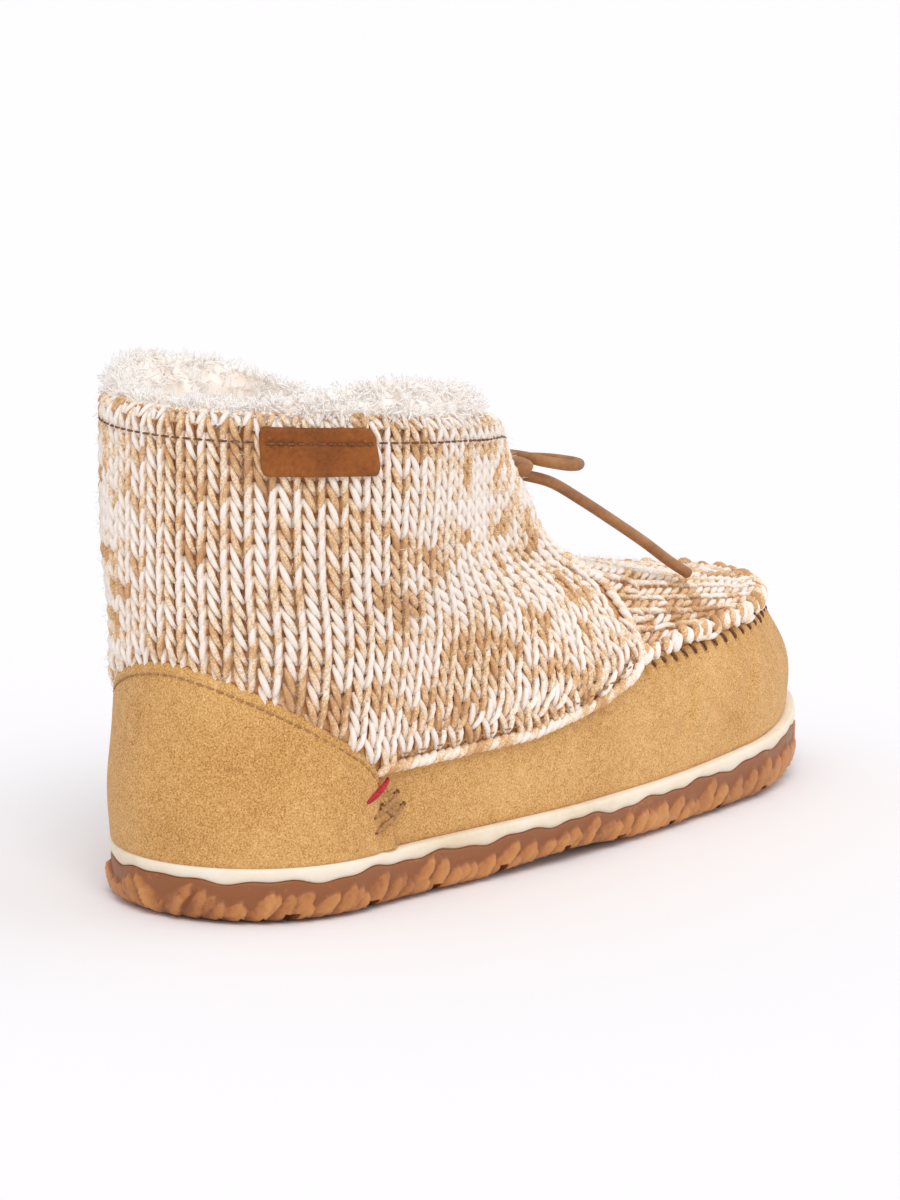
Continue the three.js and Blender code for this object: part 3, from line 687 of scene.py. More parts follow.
# %% Repeat tree
def repeat_tree():
    tree = bpy.data.node_groups.new("repeat_on_points", "GeometryNodeTree")
    for label, kind in (
        ("Points", "NodeSocketGeometry"),
        ("Pattern", "NodeSocketObject"),
        ("Scale", "NodeSocketFloat"),
        ("Wobble", "NodeSocketFloat"),
        ("Seed", "NodeSocketInt"),
        ("Finish", "NodeSocketMaterial"),
    ):
        tree.interface.new_socket(label, in_out="INPUT", socket_type=kind)
    tree.interface.new_socket("Result", in_out="OUTPUT", socket_type="NodeSocketGeometry")

    def node(kind, **settings):
        made = tree.nodes.new(kind)
        for key, value in settings.items():
            setattr(made, key, value)
        return made

    given, result = node("NodeGroupInput"), node("NodeGroupOutput")
    pattern = node("GeometryNodeObjectInfo", transform_space="ORIGINAL")
    turned_by, sized_by = (
        node("GeometryNodeInputNamedAttribute", data_type="FLOAT_VECTOR") for _ in range(2)
    )
    turned_by.inputs["Name"].default_value = "turned"
    sized_by.inputs["Name"].default_value = "size"
    chance = node("FunctionNodeRandomValue", data_type="FLOAT_VECTOR")
    chance.inputs["Min"].default_value = (-1, -1, -1)
    wobble = node("ShaderNodeVectorMath", operation="SCALE")
    angle = node("ShaderNodeVectorMath", operation="ADD")
    scaled = node("ShaderNodeVectorMath", operation="SCALE")
    rotation = node("FunctionNodeEulerToRotation")
    put = node("GeometryNodeInstanceOnPoints")
    real = node("GeometryNodeRealizeInstances")
    finish = node("GeometryNodeSetMaterial")
    for start, end in (
        (given.outputs["Pattern"], pattern.inputs["Object"]),
        (given.outputs["Seed"], chance.inputs["Seed"]),
        (chance.outputs["Value"], wobble.inputs[0]),
        (given.outputs["Wobble"], wobble.inputs["Scale"]),
        (turned_by.outputs["Attribute"], angle.inputs[0]),
        (wobble.outputs[0], angle.inputs[1]),
        (angle.outputs[0], rotation.inputs[0]),
        (sized_by.outputs["Attribute"], scaled.inputs[0]),
        (given.outputs["Scale"], scaled.inputs["Scale"]),
        (given.outputs["Points"], put.inputs["Points"]),
        (pattern.outputs["Geometry"], put.inputs["Instance"]),
        (rotation.outputs[0], put.inputs["Rotation"]),
        (scaled.outputs[0], put.inputs["Scale"]),
        (put.outputs[0], real.inputs[0]),
        (real.outputs[0], finish.inputs["Geometry"]),
        (given.outputs["Finish"], finish.inputs["Material"]),
        (finish.outputs[0], result.inputs[0]),
    ):
        tree.links.new(start, end)
    return tree


REPEAT = repeat_tree()


# %% Repeat a pattern
def eulers(x, y, z):
    """The three angles of axes that are given as rows of unit vectors."""
    tilt = -np.arcsin(np.clip(x[:, 2], -1, 1))
    return np.stack([np.arctan2(y[:, 2], z[:, 2]), tilt, np.arctan2(x[:, 1], x[:, 0])], -1)


def repeat(name, pattern, at, up_way, out_way, size, tone, material, wobble=0.0, seed=1):
    """Sets the pattern on each point: its y runs up_way and its z runs out_way."""
    z = unit(np.asarray(out_way, float))
    y = np.asarray(up_way, float)
    y = unit(y - z * (y * z).sum(-1, keepdims=True))
    x = np.cross(y, z)
    obj = piece(name, at, [], None)
    for label, kind, key, values in (
        ("turned", "FLOAT_VECTOR", "vector", eulers(x, y, z)),
        ("size", "FLOAT_VECTOR", "vector", np.ones((len(z), 3)) * np.asarray(size, float)),
        ("tone", "FLOAT", "value", np.zeros(len(z)) + tone),
    ):
        layer = obj.data.attributes.new(label, kind, "POINT")
        layer.data.foreach_set(key, values.astype(np.float32).ravel())
    maker = obj.modifiers.new("repeat", "NODES")
    maker.node_group = REPEAT
    sockets = {item.name: item.identifier for item in REPEAT.interface.items_tree}
    for label, value in (
        ("Pattern", pattern),
        ("Scale", 1.0),
        ("Wobble", wobble),
        ("Seed", seed),
        ("Finish", material),
    ):
        maker[sockets[label]] = value
    applied(obj)
    obj.data.name = name
    return obj


# %% [markdown]
# ## Knit yarn
# The yarn is two plies twisted together, one white and one tan. Long stretches of it are
# lighter or darker, which gives the blotches. The tone of a stitch comes from soft noise
# over the boot, and the ply from the stitch's own UV map, which is shifted on the tan ply.

# %% Yarn finish
# The yarn's faint warm glow (emission) is painted light: it lifts the shade between the stitches.
yarn = Finish(
    "marled_yarn", roughness=0.95, specular_ior_level=0.2, sheen_weight=0.1,
    emission_color=(1, 0.74, 0.54, 1), emission_strength=0.07,
)
own_map = yarn.add("ShaderNodeUVMap", {"uv_map": "UVMap"}, {})
tan_ply = yarn.add("ShaderNodeSeparateXYZ", {}, {"Vector": own_map}).out("X").step(1.4, 1.6)
tone = yarn.attribute("tone")
fibres = yarn.grain(1900, 3.0, 0.7)
mottle = yarn.grain(230, 2.0, 0.5)
light = tone - tan_ply * 0.42 + (mottle - 0.5) * 0.8 + (fibres - 0.5) * 1.2
marl = yarn.ramp(
    light,
    [(0.08, (0.58, 0.30, 0.12)), (0.3, (0.76, 0.48, 0.24)), (0.44, (0.90, 0.70, 0.47)),
     (0.58, (0.97, 0.89, 0.82))],
)
knit_yarn = yarn.feed(base_color=marl, normal=yarn.bump(fibres, 0.0004, 0.8))

# The sheet under the stitches is painted brown: partly the tan of the yarn and partly painted shade
# of the holes between the stitches.
shade = Finish("knit_gap_shade", roughness=0.95, specular_ior_level=0.1)
gap_shade_colour = shade.ramp(
    shade.grain(330, 3.0, 0.6),
    [(0.35, (0.40, 0.17, 0.06)), (0.5, (0.64, 0.35, 0.15)), (0.66, (0.80, 0.55, 0.32))],
)
knit_gap_shade = shade.feed(
    base_color=gap_shade_colour, normal=shade.bump(shade.grain(600, 2.0), 0.0006, 0.8)
)

# %% Stitch pattern
WALE, COURSE = 5.8, 3.75
TONE_MIDDLE, BROAD_SHARE, CLOSE_SHARE = 0.52, 0.46, 0.5


def leg(side):
    """One leg of a stitch: a white and a tan ply wound round each other."""
    s = np.linspace(0, 1, 5)
    across, out = 0.5 + 1.8 * s**0.85, np.sin(math.pi * (0.08 + 0.86 * s)) ** 0.8
    route = [side * across, (-0.85 + 1.8 * s) * COURSE, -0.95 + 1.25 * out]
    route = np.stack(route, -1)
    plies = []
    for ply, thick in ((0, 0.86), (1, 0.7)):
        wind = 0.5 + math.pi * ply + 2.4 * s
        wound = route + 0.45 * np.stack([np.cos(wind), 0 * s, np.sin(wind)], -1)
        shape = sweep(wound, thick * plump(s, 0.13, 0.6), 4, [1, 0, 0])
        shape[2][:, 0] += 2 * ply
        plies.append(shape)
    return plies


patterns = []


def pattern(name, shapes):
    """One small pattern from several swept shapes; it is taken away at the end."""
    points, faces, uv, count = [], [], [], 0
    for shape_points, shape_faces, shape_uv in shapes:
        points.append(shape_points)
        faces += [tuple(k + count for k in face) for face in shape_faces]
        uv.append(shape_uv)
        count += len(shape_points)
    patterns.append(piece(name, np.vstack(points), faces, None, np.vstack(uv), local=True))
    return patterns[-1]


stitch = pattern("stitch_pattern", leg(-1) + leg(1))
print("stitch pattern faces", len(stitch.data.polygons))


def marl_tone(points, seed):
    """Broad and close patches of light and dark, a little different in each stitch."""
    dice = np.random.default_rng(seed)
    values = []
    for x, y, z in np.asarray(points):
        broad = noise.noise(Vector((x / 15, y / 15, z / 7)) + Vector((seed, 0, 0)))
        close = noise.noise(Vector((x / 7, y / 7, z / 3)) + Vector((0, seed, 0)))
        values.append(TONE_MIDDLE + BROAD_SHARE * broad + CLOSE_SHARE * close)
    return np.clip(np.array(values) + dice.normal(0, 0.09, len(values)), 0.1, 0.95)


# %% [markdown]
# ## The knitted shaft
# Wales are the columns of a knit. On the shaft they stand upright at the back and follow
# the quarter's slanting edge in front. A table gives the turn of each wale at each level,
# and the stitches are then set one course apart along it, from the collar's edge down.

# %% Wales of the shaft
LEVELS, SHARES = np.linspace(1.3, 6.0, 95), np.linspace(0, 1, 81)
UPRIGHT_SHARE = 0.75
hem_turns, hem_levels = np.array(HEM[4:]).T
edges = [np.linspace(0, edge, 161) for edge in np.interp(LEVELS, hem_levels, hem_turns)]
edge_runs = [run_along(last(turns, level, 2.2)) for turns, level in zip(edges, LEVELS)]
wale_runs = np.array([run[-1] for run in edge_runs])
usual_run = float(wale_runs[LEVELS > 3].mean())
WALES = round(usual_run / WALE)
upright = 1 + UPRIGHT_SHARE * (usual_run / wale_runs - 1)
wale_turns = []
for run, turns, even_part in zip(edge_runs, edges, upright):
    spread = SHARES * (even_part + (1 - even_part) * SHARES**2)
    wale_turns.append(np.interp(spread * run[-1], run, turns))
print("wales on each side", WALES, "run of a course, mm", wale_runs[::20].round(1))


def wale_line(share, side, levels):
    """The turns of one wale; its share is 0 at the heel and 1 at the quarter's edge."""
    across = [np.interp(share, SHARES, row) for row in wale_turns]
    return side * np.interp(levels, LEVELS, across)


def wale_widths(share, levels):
    """How wide its stitches are beside the usual ones."""
    even_part = np.interp(levels, LEVELS, upright)
    spread = even_part + 3 * (1 - even_part) * share**2
    return spread * np.interp(levels, LEVELS, wale_runs) / WALES / WALE


# %% Stitches of the shaft
KNIT_MIDDLE, TUCK, COLLAR_ROUND, EYELET_CLEAR = 2.05, 1.8, 1.7, 2.6
SIDES = ((1, "outer"), (-1, "inner"))


def above_counter(turn):
    return np.abs(turn) < COUNTER_CORNER


def wale_stitches(share, side):
    """One wale as rows of place, up, out and size, from the collar down."""
    levels = np.linspace(6.0, 1.32, 420)
    turns = wale_line(share, side, levels)
    bottom = np.where(above_counter(turns), counter_top(turns) + 0.02, hem(turns) + 0.17)
    inside = (levels <= shaft_top(turns)) & (levels >= bottom)
    v, t = levels[inside], turns[inside]
    tucked = (1 - smooth(0, 0.22, v - counter_top(t))) * above_counter(t)
    points, out = last(t, v, KNIT_MIDDLE - TUCK * tucked), last_normal(t, v)
    run, upwards = run_along(points), unit(-np.gradient(points, axis=0))
    width = wale_widths(share, v)
    rows = []
    for angle in (125, 62):
        bend = math.radians(angle)
        way = out[0] * math.cos(bend) + upwards[0] * math.sin(bend)
        up_way = upwards[0] * math.cos(bend) - out[0] * math.sin(bend)
        spot = points[0] - out[0] * COLLAR_ROUND + way * 1.6
        rows.append((spot, up_way, way, (width[0], 0.82, 0.85)))
    for course in np.arange(0.55, (run[-1] - 0.4 * COURSE) // COURSE + 1, 1.0):
        pick = min(int(np.searchsorted(run, course * COURSE)), len(run) - 1)
        rows.append((points[pick], upwards[pick], out[pick], (width[pick], 1.0, 1.0)))
    return rows


rows = []
for side, _ in SIDES:
    for k in range(WALES):
        rows += wale_stitches((k + 0.5) / WALES, side)
shaft_at, shaft_up, shaft_out, shaft_size = (np.array(column) for column in zip(*rows))
clear = np.ones(len(rows), bool)
for side, _ in SIDES:
    eyelet = last(side * EYELET_TURN, EYELET_LEVEL, KNIT_MIDDLE)
    clear &= np.linalg.norm(shaft_at - eyelet, axis=1) > EYELET_CLEAR
shaft_at, shaft_out = shaft_at[clear], shaft_out[clear]
shaft_knit = repeat(
    "shaft_knit", stitch, shaft_at, shaft_up[clear], shaft_out, shaft_size[clear],
    marl_tone(shaft_at, 3), knit_yarn, wobble=0.05,
)
finished(shaft_knit, "knit", "shaft")
print("stitches on the shaft", len(shaft_at))

# %% Ground of the shaft, painted shade between the stitches
shaft_ground = band(
    "shaft_ground",
    np.linspace(-QUARTER_END, QUARTER_END, 300),
    lambda T: np.where(above_counter(T), counter_top(T), hem(T)) + 0.035,
    shaft_top,
    16,
    flat(1.15),
    flat(0.3),
    knit_gap_shade,
    closed=False,
)
finished(shaft_ground, "knit")

# %% [markdown]
# ## The plug and tongue
# The knitted plug lies over the toes and runs up as the tongue. Its wales run along the
# foot, so the stitches are found by dropping a plumb line on its surface, row by row.

# %% Plug surface
PLUG_LOW, PLUG_START = 2.02, 1.62


def rim_height(turn, level):
    """The gathered rim stands up round the toe, and the tongue lies under the quarters."""
    under = 0.7 * smooth(1.9, 2.4, level)
    return 2.4 * ridge(level, 2.08, 0.13) * smooth(1.84, 2.02, side_of(turn)) - under


# The plug's ground is the same sheet of painted shade under its stitches.
plug_ground = band(
    "plug_ground",
    np.linspace(PLUG_START, 2 * math.pi - PLUG_START, 280),
    flat(PLUG_LOW),
    tongue_top,
    36,
    lambda T, L: rim_height(T, L) - 1.5,
    flat(-3.7),
    knit_gap_shade,
    closed=False,
)
finished(plug_ground, "knit")

# %% Stitches of the plug
SKIN_COLUMNS, SKIN_ROWS, SKIN_START, SKIN_LOW = 260, 90, 1.6, 2.03
PLUG_MIDDLE, PLUG_STEP, PLUG_STEPS, FROM_ABOVE = 1.5, 0.5, range(-75, 73), 200
skin_turns = np.linspace(SKIN_START, 2 * math.pi - SKIN_START, SKIN_COLUMNS)
T, S = np.meshgrid(skin_turns, np.linspace(0, 1, SKIN_ROWS), indexing="ij")
L = SKIN_LOW + (tongue_top(T) - SKIN_LOW) * S
skin = last(T, L, rim_height(T, L) - 1.15)
i, j = np.meshgrid(np.arange(SKIN_COLUMNS - 1), np.arange(SKIN_ROWS - 1), indexing="ij")
start = (i * SKIN_ROWS + j).ravel()
quads = np.stack([start, start + SKIN_ROWS, start + SKIN_ROWS + 1, start + 1], -1)
tree = BVHTree.FromPolygons(skin.reshape(-1, 3).tolist(), quads.tolist())
quarter_edge = np.interp((L * 20).astype(int) / 20, hem_levels, hem_turns)
plug_shown = side_of(T) > quarter_edge - 0.1


def plug_station(x):
    """The plug's cross-section at x: points and normals one wale apart, by wale number."""
    hits = {}
    for n in PLUG_STEPS:
        above = Vector((x, PLUG_MIDDLE + PLUG_STEP * n, FROM_ABOVE))
        hit = tree.ray_cast(above, Vector((0, 0, -1)))
        if hit[0] is not None:
            hits[n] = hit
    if 0 not in hits:
        return {}
    found = {0: hits[0]}
    for way in (1, -1):
        n, run, wale = 0, 0.0, 1
        while n + way in hits:
            step = (hits[n + way][0] - hits[n][0]).length
            n, run = n + way, run + step
            if run >= wale * WALE:
                found[wale * way] = hits[n]
                wale += 1
    return found


def plug_wale(spots):
    """One wale as rows of place, up and out, one course apart and only where it shows."""
    rows, since = [], COURSE
    for (before, *_), (at, out, face, _), (after, *_) in zip(spots, spots[1:], spots[2:]):
        since += (at - before).length
        if since < COURSE or not plug_shown[divmod(face, SKIN_ROWS - 1)]:
            continue
        since = min(since - COURSE, COURSE * 0.9)
        rows.append((at, after - before, out if out.z > 0 else -out))
    return rows


stations = [plug_station(x) for x in np.arange(246, 88, -0.9)]
rows = []
for wale in range(-9, 10):
    rows += plug_wale([found[wale] for found in stations if wale in found])
plug_at, plug_up, plug_out = (np.array(column, float) for column in zip(*rows))
plug_knit = repeat(
    "plug_knit", stitch, plug_at, plug_up, plug_out, 1, marl_tone(plug_at, 8), knit_yarn,
    wobble=0.06, seed=2,
)
finished(plug_knit, "knit", "vamp_and_tongue")
print("stitches on the plug", len(plug_at))

# %% [markdown]
# ## Knobs of the moccasin seam
# The plug's edge is gathered over the suede, and each whip stitch ties it into a small
# round knob. The knobs are short curled pieces of the same yarn, one at each pleat.

# %% Seam knobs
bend = np.linspace(0, 1, 7)
curls = []
for ply, (back, thick) in enumerate(((-0.5, 1.2), (0.75, 1.0))):
    curl = [1.75 * np.cos(math.pi * bend), back + 0.5 * np.sin(5 * bend)]
    curl.append(1.5 * np.sin(math.pi * bend))
    shape = sweep(np.stack(curl, -1), thick * plump(bend, 0.2, 0.6), 6)
    shape[2][:, 0] += 2 * ply
    curls.append(shape)
knob = pattern("knob_pattern", curls)


def both_sides(runs):
    """Turns at these runs along the seam, first on the outer side and then on the inner."""
    turns = np.interp(runs, SEAM_RUN, SEAM_TURNS)
    return np.concatenate([turns, -turns])


first_knob = math.ceil(seam_run(1.74) / KNOB_PITCH)
knob_runs = (np.arange(first_knob, int(SEAM_RUN[-1] / KNOB_PITCH) + 1) + 0.5) * KNOB_PITCH
knob_runs = knob_runs[knob_runs < SEAM_RUN[-1] - 1]
knob_turns = both_sides(knob_runs)
knob_out = last_normal(knob_turns, 0 * knob_turns + SEAM) + np.array([0, 0, 0.3])
knob_way = last(knob_turns, 2.4) - last(knob_turns, 2.05)
dice = np.random.default_rng(5)
knob_size = dice.uniform(0.85, 1.2, (len(knob_turns), 3))
knob_tone = np.clip(dice.normal(0.55, 0.22, len(knob_turns)), 0.15, 0.9)
knobs = repeat(
    "seam_knobs", knob, last(knob_turns, 2.08, 1.0), knob_way, knob_out, knob_size, knob_tone,
    knit_yarn, wobble=0.3, seed=4,
)
finished(knobs, "knit")

# %% [markdown]
# ## Fuzz
# Loose fibres stand off the yarn and soften it. They are single bent hairs, set at random
# near the stitches and leaning every way.

# %% Fuzz
FUZZ = 7000
s = np.linspace(0, 1, 3)
hair_route = np.stack([1.3 * s**2, 0.3 * s, 2.2 * s], -1)
hair = pattern("hair_pattern", [sweep(hair_route, 0.07 * (1 - 0.6 * s), 3)])
dice = np.random.default_rng(31)
pick = dice.integers(0, len(shaft_at) + len(plug_at), FUZZ)
near_at, near_out = np.vstack([shaft_at, plug_at])[pick], np.vstack([shaft_out, plug_out])[pick]
fuzz_out = near_out + dice.normal(0, 0.6, (FUZZ, 3))
fuzz_at = near_at + dice.uniform(-2.6, 2.6, (FUZZ, 3)) * (1 - np.abs(near_out))
fuzz = repeat(
    "knit_fuzz", hair, fuzz_at, dice.normal(0, 1, (FUZZ, 3)), fuzz_out,
    dice.uniform(0.6, 1.3, (FUZZ, 3)), dice.uniform(0.45, 0.9, FUZZ), knit_yarn,
)
finished(fuzz, "knit")

# %% [markdown]
# ## Fleece
# The lining is deep fleece that rolls out over the collar. A soft roll gives it body, and
# some thousands of small curved tufts give it its edge. Tufts that lie near each other lean
# the same way, as real locks do.

# %% Fleece finish
# The fleece's glow (emission) is painted light: it softens the shade between the tufts and in the
# roll.
wool = Finish(
    "white_fleece", roughness=1.0, subsurface_weight=0.6, subsurface_scale=0.005,
    subsurface_radius=(1, 0.9, 0.8), emission_color=(1, 0.94, 0.89, 1), emission_strength=0.13,
)
wool_clouds = wool.grain(130, 3.0)
wool_colour = wool.ramp(
    wool_clouds,
    [(0.3, (0.87, 0.77, 0.68)), (0.5, (0.90, 0.83, 0.77)), (0.66, (0.92, 0.88, 0.83))],
)
fleece_wool = wool.feed(
    base_color=wool_colour, normal=wool.bump(wool.grain(420, 4.0), 0.0008, 0.6)
)

# %% Fleece roll
FLEECE_LOW, FLEECE_HIGH, HEEL_DROP = 4.7, 6.5, 0.32
TONGUE_DEPTH, PILE = 4.0, 1.4


def lining_depth(turn, level):
    """The lining's outer side, deeper where the plug lies over it."""
    return -2.4 - 1.9 * smooth(1.4, PLUG_START, side_of(turn)) * smooth(1.7, 1.98, level)


def fleece_high(turn):
    """The roll's top, lower at the heel."""
    return FLEECE_HIGH - HEEL_DROP * (1 - smooth(0.3, 1.3, side_of(turn)))


def behind_tongue(turn):
    return smooth(1.95, 2.2, side_of(turn))


def fleece_out(turn, level):
    over = smooth(6.05, 6.25, level) * (1 - behind_tongue(turn))
    curled = smooth(-0.2, 0, level - fleece_high(turn))
    return 1.8 * over - 0.2 - TONGUE_DEPTH * behind_tongue(turn) - 2.4 * curled


def fleece_in(turn, level):
    taper = smooth(FLEECE_LOW, FLEECE_LOW + 0.6, level)
    curled = smooth(-0.35, 0, level - fleece_high(turn))
    return 2.2 * curled - 3.5 * (1 + taper) - TONGUE_DEPTH * behind_tongue(turn)


def lumps(turn, level, size):
    return waves(turn, level, size, (7, 1), (3, 0.5))


fleece_roll = band(
    "fleece_roll",
    np.linspace(0, 2 * math.pi, 300, endpoint=False),
    flat(FLEECE_LOW),
    fleece_high,
    24,
    lambda T, L: fleece_out(T, L) + lumps(T, L, 0.5) * smooth(6.0, 6.2, L),
    lambda T, L: fleece_in(T, L) + lumps(T, L, 0.9),
    fleece_wool,
)
finished(fleece_roll, "fleece", "collar_fleece")

# %% Tufts
TUFTS = 9600
s = np.linspace(0, 1, 4)
tuft_route = np.stack([2.3 * s**2, 0.6 * np.sin(3.5 * s), 3.4 * s], -1)
tuft = pattern("tuft_pattern", [sweep(tuft_route, 0.5 * (1 - 0.6 * s), 3)])


OUTER_SHARE, OVER_SHARE = 0.22, 0.38


def fleece_section(turn, share):
    """From the outer wall over the top to the inner wall, as share goes from 0 to 1."""
    rise = np.clip(share / OUTER_SHARE, 0, 1)
    over = np.clip((share - OUTER_SHARE) / (OVER_SHARE - OUTER_SHARE), 0, 1)
    fall = np.clip((share - OVER_SHARE) / (1 - OVER_SHARE), 0, 1)
    high = fleece_high(turn)
    level = np.where(share < OVER_SHARE, 6.02 + (high - 6.04) * rise, high - 3.4 * fall)
    inner = np.where(level < 4.85, lining_depth(turn, level) - PILE, fleece_in(turn, level))
    return last(turn, level, fleece_out(turn, level) * (1 - over) + inner * over)


def fleece_tufts():
    """Where each tuft stands, its side, its way out and its size."""
    dice = np.random.default_rng(11)
    turn = dice.uniform(0, 2 * math.pi, TUFTS)
    share = dice.uniform(0, 1, TUFTS) ** 1.5
    at = fleece_section(turn, share)
    before, after = (fleece_section(turn, np.clip(share + d, 0, 1)) for d in (-0.02, 0.02))
    out = unit(np.cross(fleece_section(turn + 0.01, share) - at, after - before))
    shifts = [Vector((k * 9.0, 0, 0)) for k in range(3)]
    lean = np.array([[noise.noise(Vector(p) / 6 + shift) for shift in shifts] for p in at])
    way = unit(out + 1.5 * lean + np.array([0, 0, 0.3]) + dice.normal(0, 0.3, (TUFTS, 3)))
    long = dice.uniform(0.5, 1.1, TUFTS)
    size = np.stack([dice.uniform(0.8, 1.3, TUFTS), dice.uniform(0.8, 1.3, TUFTS), long], -1)
    return at - out * 0.9, unit(dice.normal(0, 1, (TUFTS, 3))), way, size


tufts = repeat("fleece_tufts", tuft, *fleece_tufts(), 0, fleece_wool)
finished(tufts, "fleece")

# %% Lining and footbed
lining = band(
    "fleece_lining",
    np.linspace(0, 2 * math.pi, 250, endpoint=False),
    flat(0.12),
    flat(4.9),
    46,
    lining_depth,
    lambda T, L: lining_depth(T, L) - PILE - 1.8 * smooth(0.6, 0.15, L) + lumps(T, L, 0.9),
    fleece_wool,
)
finished(lining, "fleece")
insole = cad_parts["insole"]
insole.data.materials.clear()
insole.data.materials.append(fleece_wool)

# %% [markdown]
# ## Gum outsole
# The side of the gum sole is carved like overlapping leaves that lean forward, and above
# them it is smooth, with a wavy top edge. Its tread is cut by chevron grooves, which show
# as dark notches along the bottom edge. The leaves are a rule of the run along the edge
# and the height, so they are moved in code, and the grooves are cut by a Boolean.

# %% Gum finish
gum = Finish("gum_rubber", roughness=0.5)
gum_fine = gum.grain(700, 3.0)
gum_broad = gum.grain(60, 3.0)
# Leaves that stand out are painted lighter and the gaps between them darker: painted light and
# shade.
leaf_painted_light = gum.attribute("raised")
gum_colour = gum.ramp(
    gum_broad * 0.5 + gum_fine * 0.3 + leaf_painted_light * 0.22 - 0.14,
    [(0.3, (0.28, 0.09, 0.024)), (0.42, (0.44, 0.165, 0.045)), (0.58, (0.57, 0.245, 0.072)),
     (0.75, (0.64, 0.31, 0.11))],
)
gum_rubber = gum.feed(
    base_color=gum_colour,
    roughness=gum_fine * 0.3 + 0.34,
    normal=gum.bump(gum_fine, 0.00015, 0.6),
)

# %% Sole outline
EDGE = 1200
GUM_HEIGHT, SOLE_HEIGHT = 10.5, 14.0
fine_turns = np.linspace(0, math.pi, 3000)
EDGE_RUN = run_along(ring_points(SOLE_RING, fine_turns))
half_turns = np.interp(np.linspace(0, EDGE_RUN[-1], EDGE // 2 + 1), EDGE_RUN, fine_turns)
edge_turns = np.concatenate([half_turns, 2 * math.pi - half_turns[-2:0:-1]])
edge_base = ring_points(SOLE_RING, edge_turns)
edge_along = np.roll(edge_base, -1, 0) - np.roll(edge_base, 1, 0)
edge_out = unit(np.stack([edge_along[:, 1], -edge_along[:, 0], 0 * edge_along[:, 0]], -1))
edge_run = np.interp(side_of(edge_turns), fine_turns, EDGE_RUN)
edge_share = (1 - np.cos(edge_turns)) / 2
print("edge of the sole, mm", round(2 * EDGE_RUN[-1], 1))


def sole_lift(share):
    """How much the sole's layers rise towards the toe."""
    return 7.5 * np.clip((share - 0.55) / 0.45, 0, 1) ** 2


def bottom_height(x):
    """The tread's height above the floor: it springs at the toe and lifts at the arch."""
    spring = 8 * np.clip((x - 202) / 60, 0, 1) ** 2
    return spring + 2 * smooth(38, 0, np.abs(x - 112))


def gum_top():
    wave = 0.5 * np.sin(edge_run / 4.3 + 0.6) + 0.3 * np.sin(edge_run / 1.9 + 2.0)
    return GUM_HEIGHT + sole_lift(edge_share) + wave + 0.25 * np.sin(edge_run / 9.0)


def outline(inset, height):
    """The sole's edge, moved in by an inset."""
    points = edge_base - edge_out * np.broadcast_to(inset, (EDGE,))[:, None]
    points[:, 2] = height
    return points


def stack(name, outlines, material):
    """Outlines from the bottom up, closed below and above by ladders across the sole."""
    n = len(outlines[0])
    faces = []
    for k in range(len(outlines) - 1):
        for i in range(n):
            r = (i + 1) % n
            faces.append((k * n + i, k * n + r, (k + 1) * n + r, (k + 1) * n + i))
    top = (len(outlines) - 1) * n
    for i in range(n // 2):
        a, b = (n - i) % n, n - i - 1
        for face in ([top + i, top + i + 1, top + b, top + a], [i, a, b, i + 1]):
            corners = list(dict.fromkeys(face))
            if len(corners) > 2:
                faces.append(corners)
    return piece(name, np.vstack(outlines), faces, material)


# %% Leaves of the gum side
LEAF_ROWS, LEAF_PITCH = 22, 5.6
INSET_AT = [0, 0.06, 0.16, 0.4, 0.72, 0.95, 1]
INSETS = [4.6, 3.1, 1.7, 0.9, 0.5, 0.4, 0.9]
leaf_dice = np.random.default_rng(21)
leaf_tops = leaf_dice.uniform(0.45, 0.84, (2, 400)) + np.array([[0.0], [0.13]])
leaf_depths = leaf_dice.uniform(1.2, 2.0, (2, 400))


def leaves(height_share, layer):
    """Shingles: each rises from its back edge and ends in a step at its front edge."""
    pitch, lean, phase, low = ((LEAF_PITCH, 0.9, 0.15, 0.0), (7.9, 1.2, 0.6, 0.2))[layer]
    spot = edge_run / pitch - lean * height_share + phase + 4
    index = np.floor(spot).astype(int)
    q = spot - index
    tall = leaf_tops[layer][index] * (1 - 0.55 * np.abs(2 * q - 1.2) ** 2)
    inside = smooth(0, 0.1, tall - height_share) * smooth(low - 0.1, low + 0.02, height_share)
    return leaf_depths[layer][index] * (0.1 + 0.9 * q) * smooth(1.0, 0.92, q) * inside


side_rows = [outline(6.5, bottom_height(edge_base[:, 0]))]
raised = [np.zeros(EDGE)]
for row in range(LEAF_ROWS + 1):
    share = row / LEAF_ROWS
    chips = smooth(0.75, 1.0, (edge_run / LEAF_PITCH + 4.15) % 1) * (1 - share) ** 3
    height = bottom_height(edge_base[:, 0]) + 0.25 + 1.0 * chips
    height = height + (gum_top() - height) * share
    leaf = np.maximum(leaves(share, 0), 0.85 * leaves(share, 1))
    raised.append(leaf)
    inset = np.interp(share, INSET_AT, INSETS) - leaf * smooth(-0.02, 0.08, share)
    side_rows.append(outline(inset, height))
side_rows.append(outline(2.5, gum_top() - 0.1))
raised.append(raised[0])
outsole = stack("gum_outsole", side_rows, gum_rubber)
# How far each point of the side stands out, kept for the painted light and shade of the leaves.
painted_leaf_light_layer = outsole.data.attributes.new("raised", "FLOAT", "POINT")
painted_leaf_light_layer.data.foreach_set("value", np.concatenate(raised).astype(np.float32))

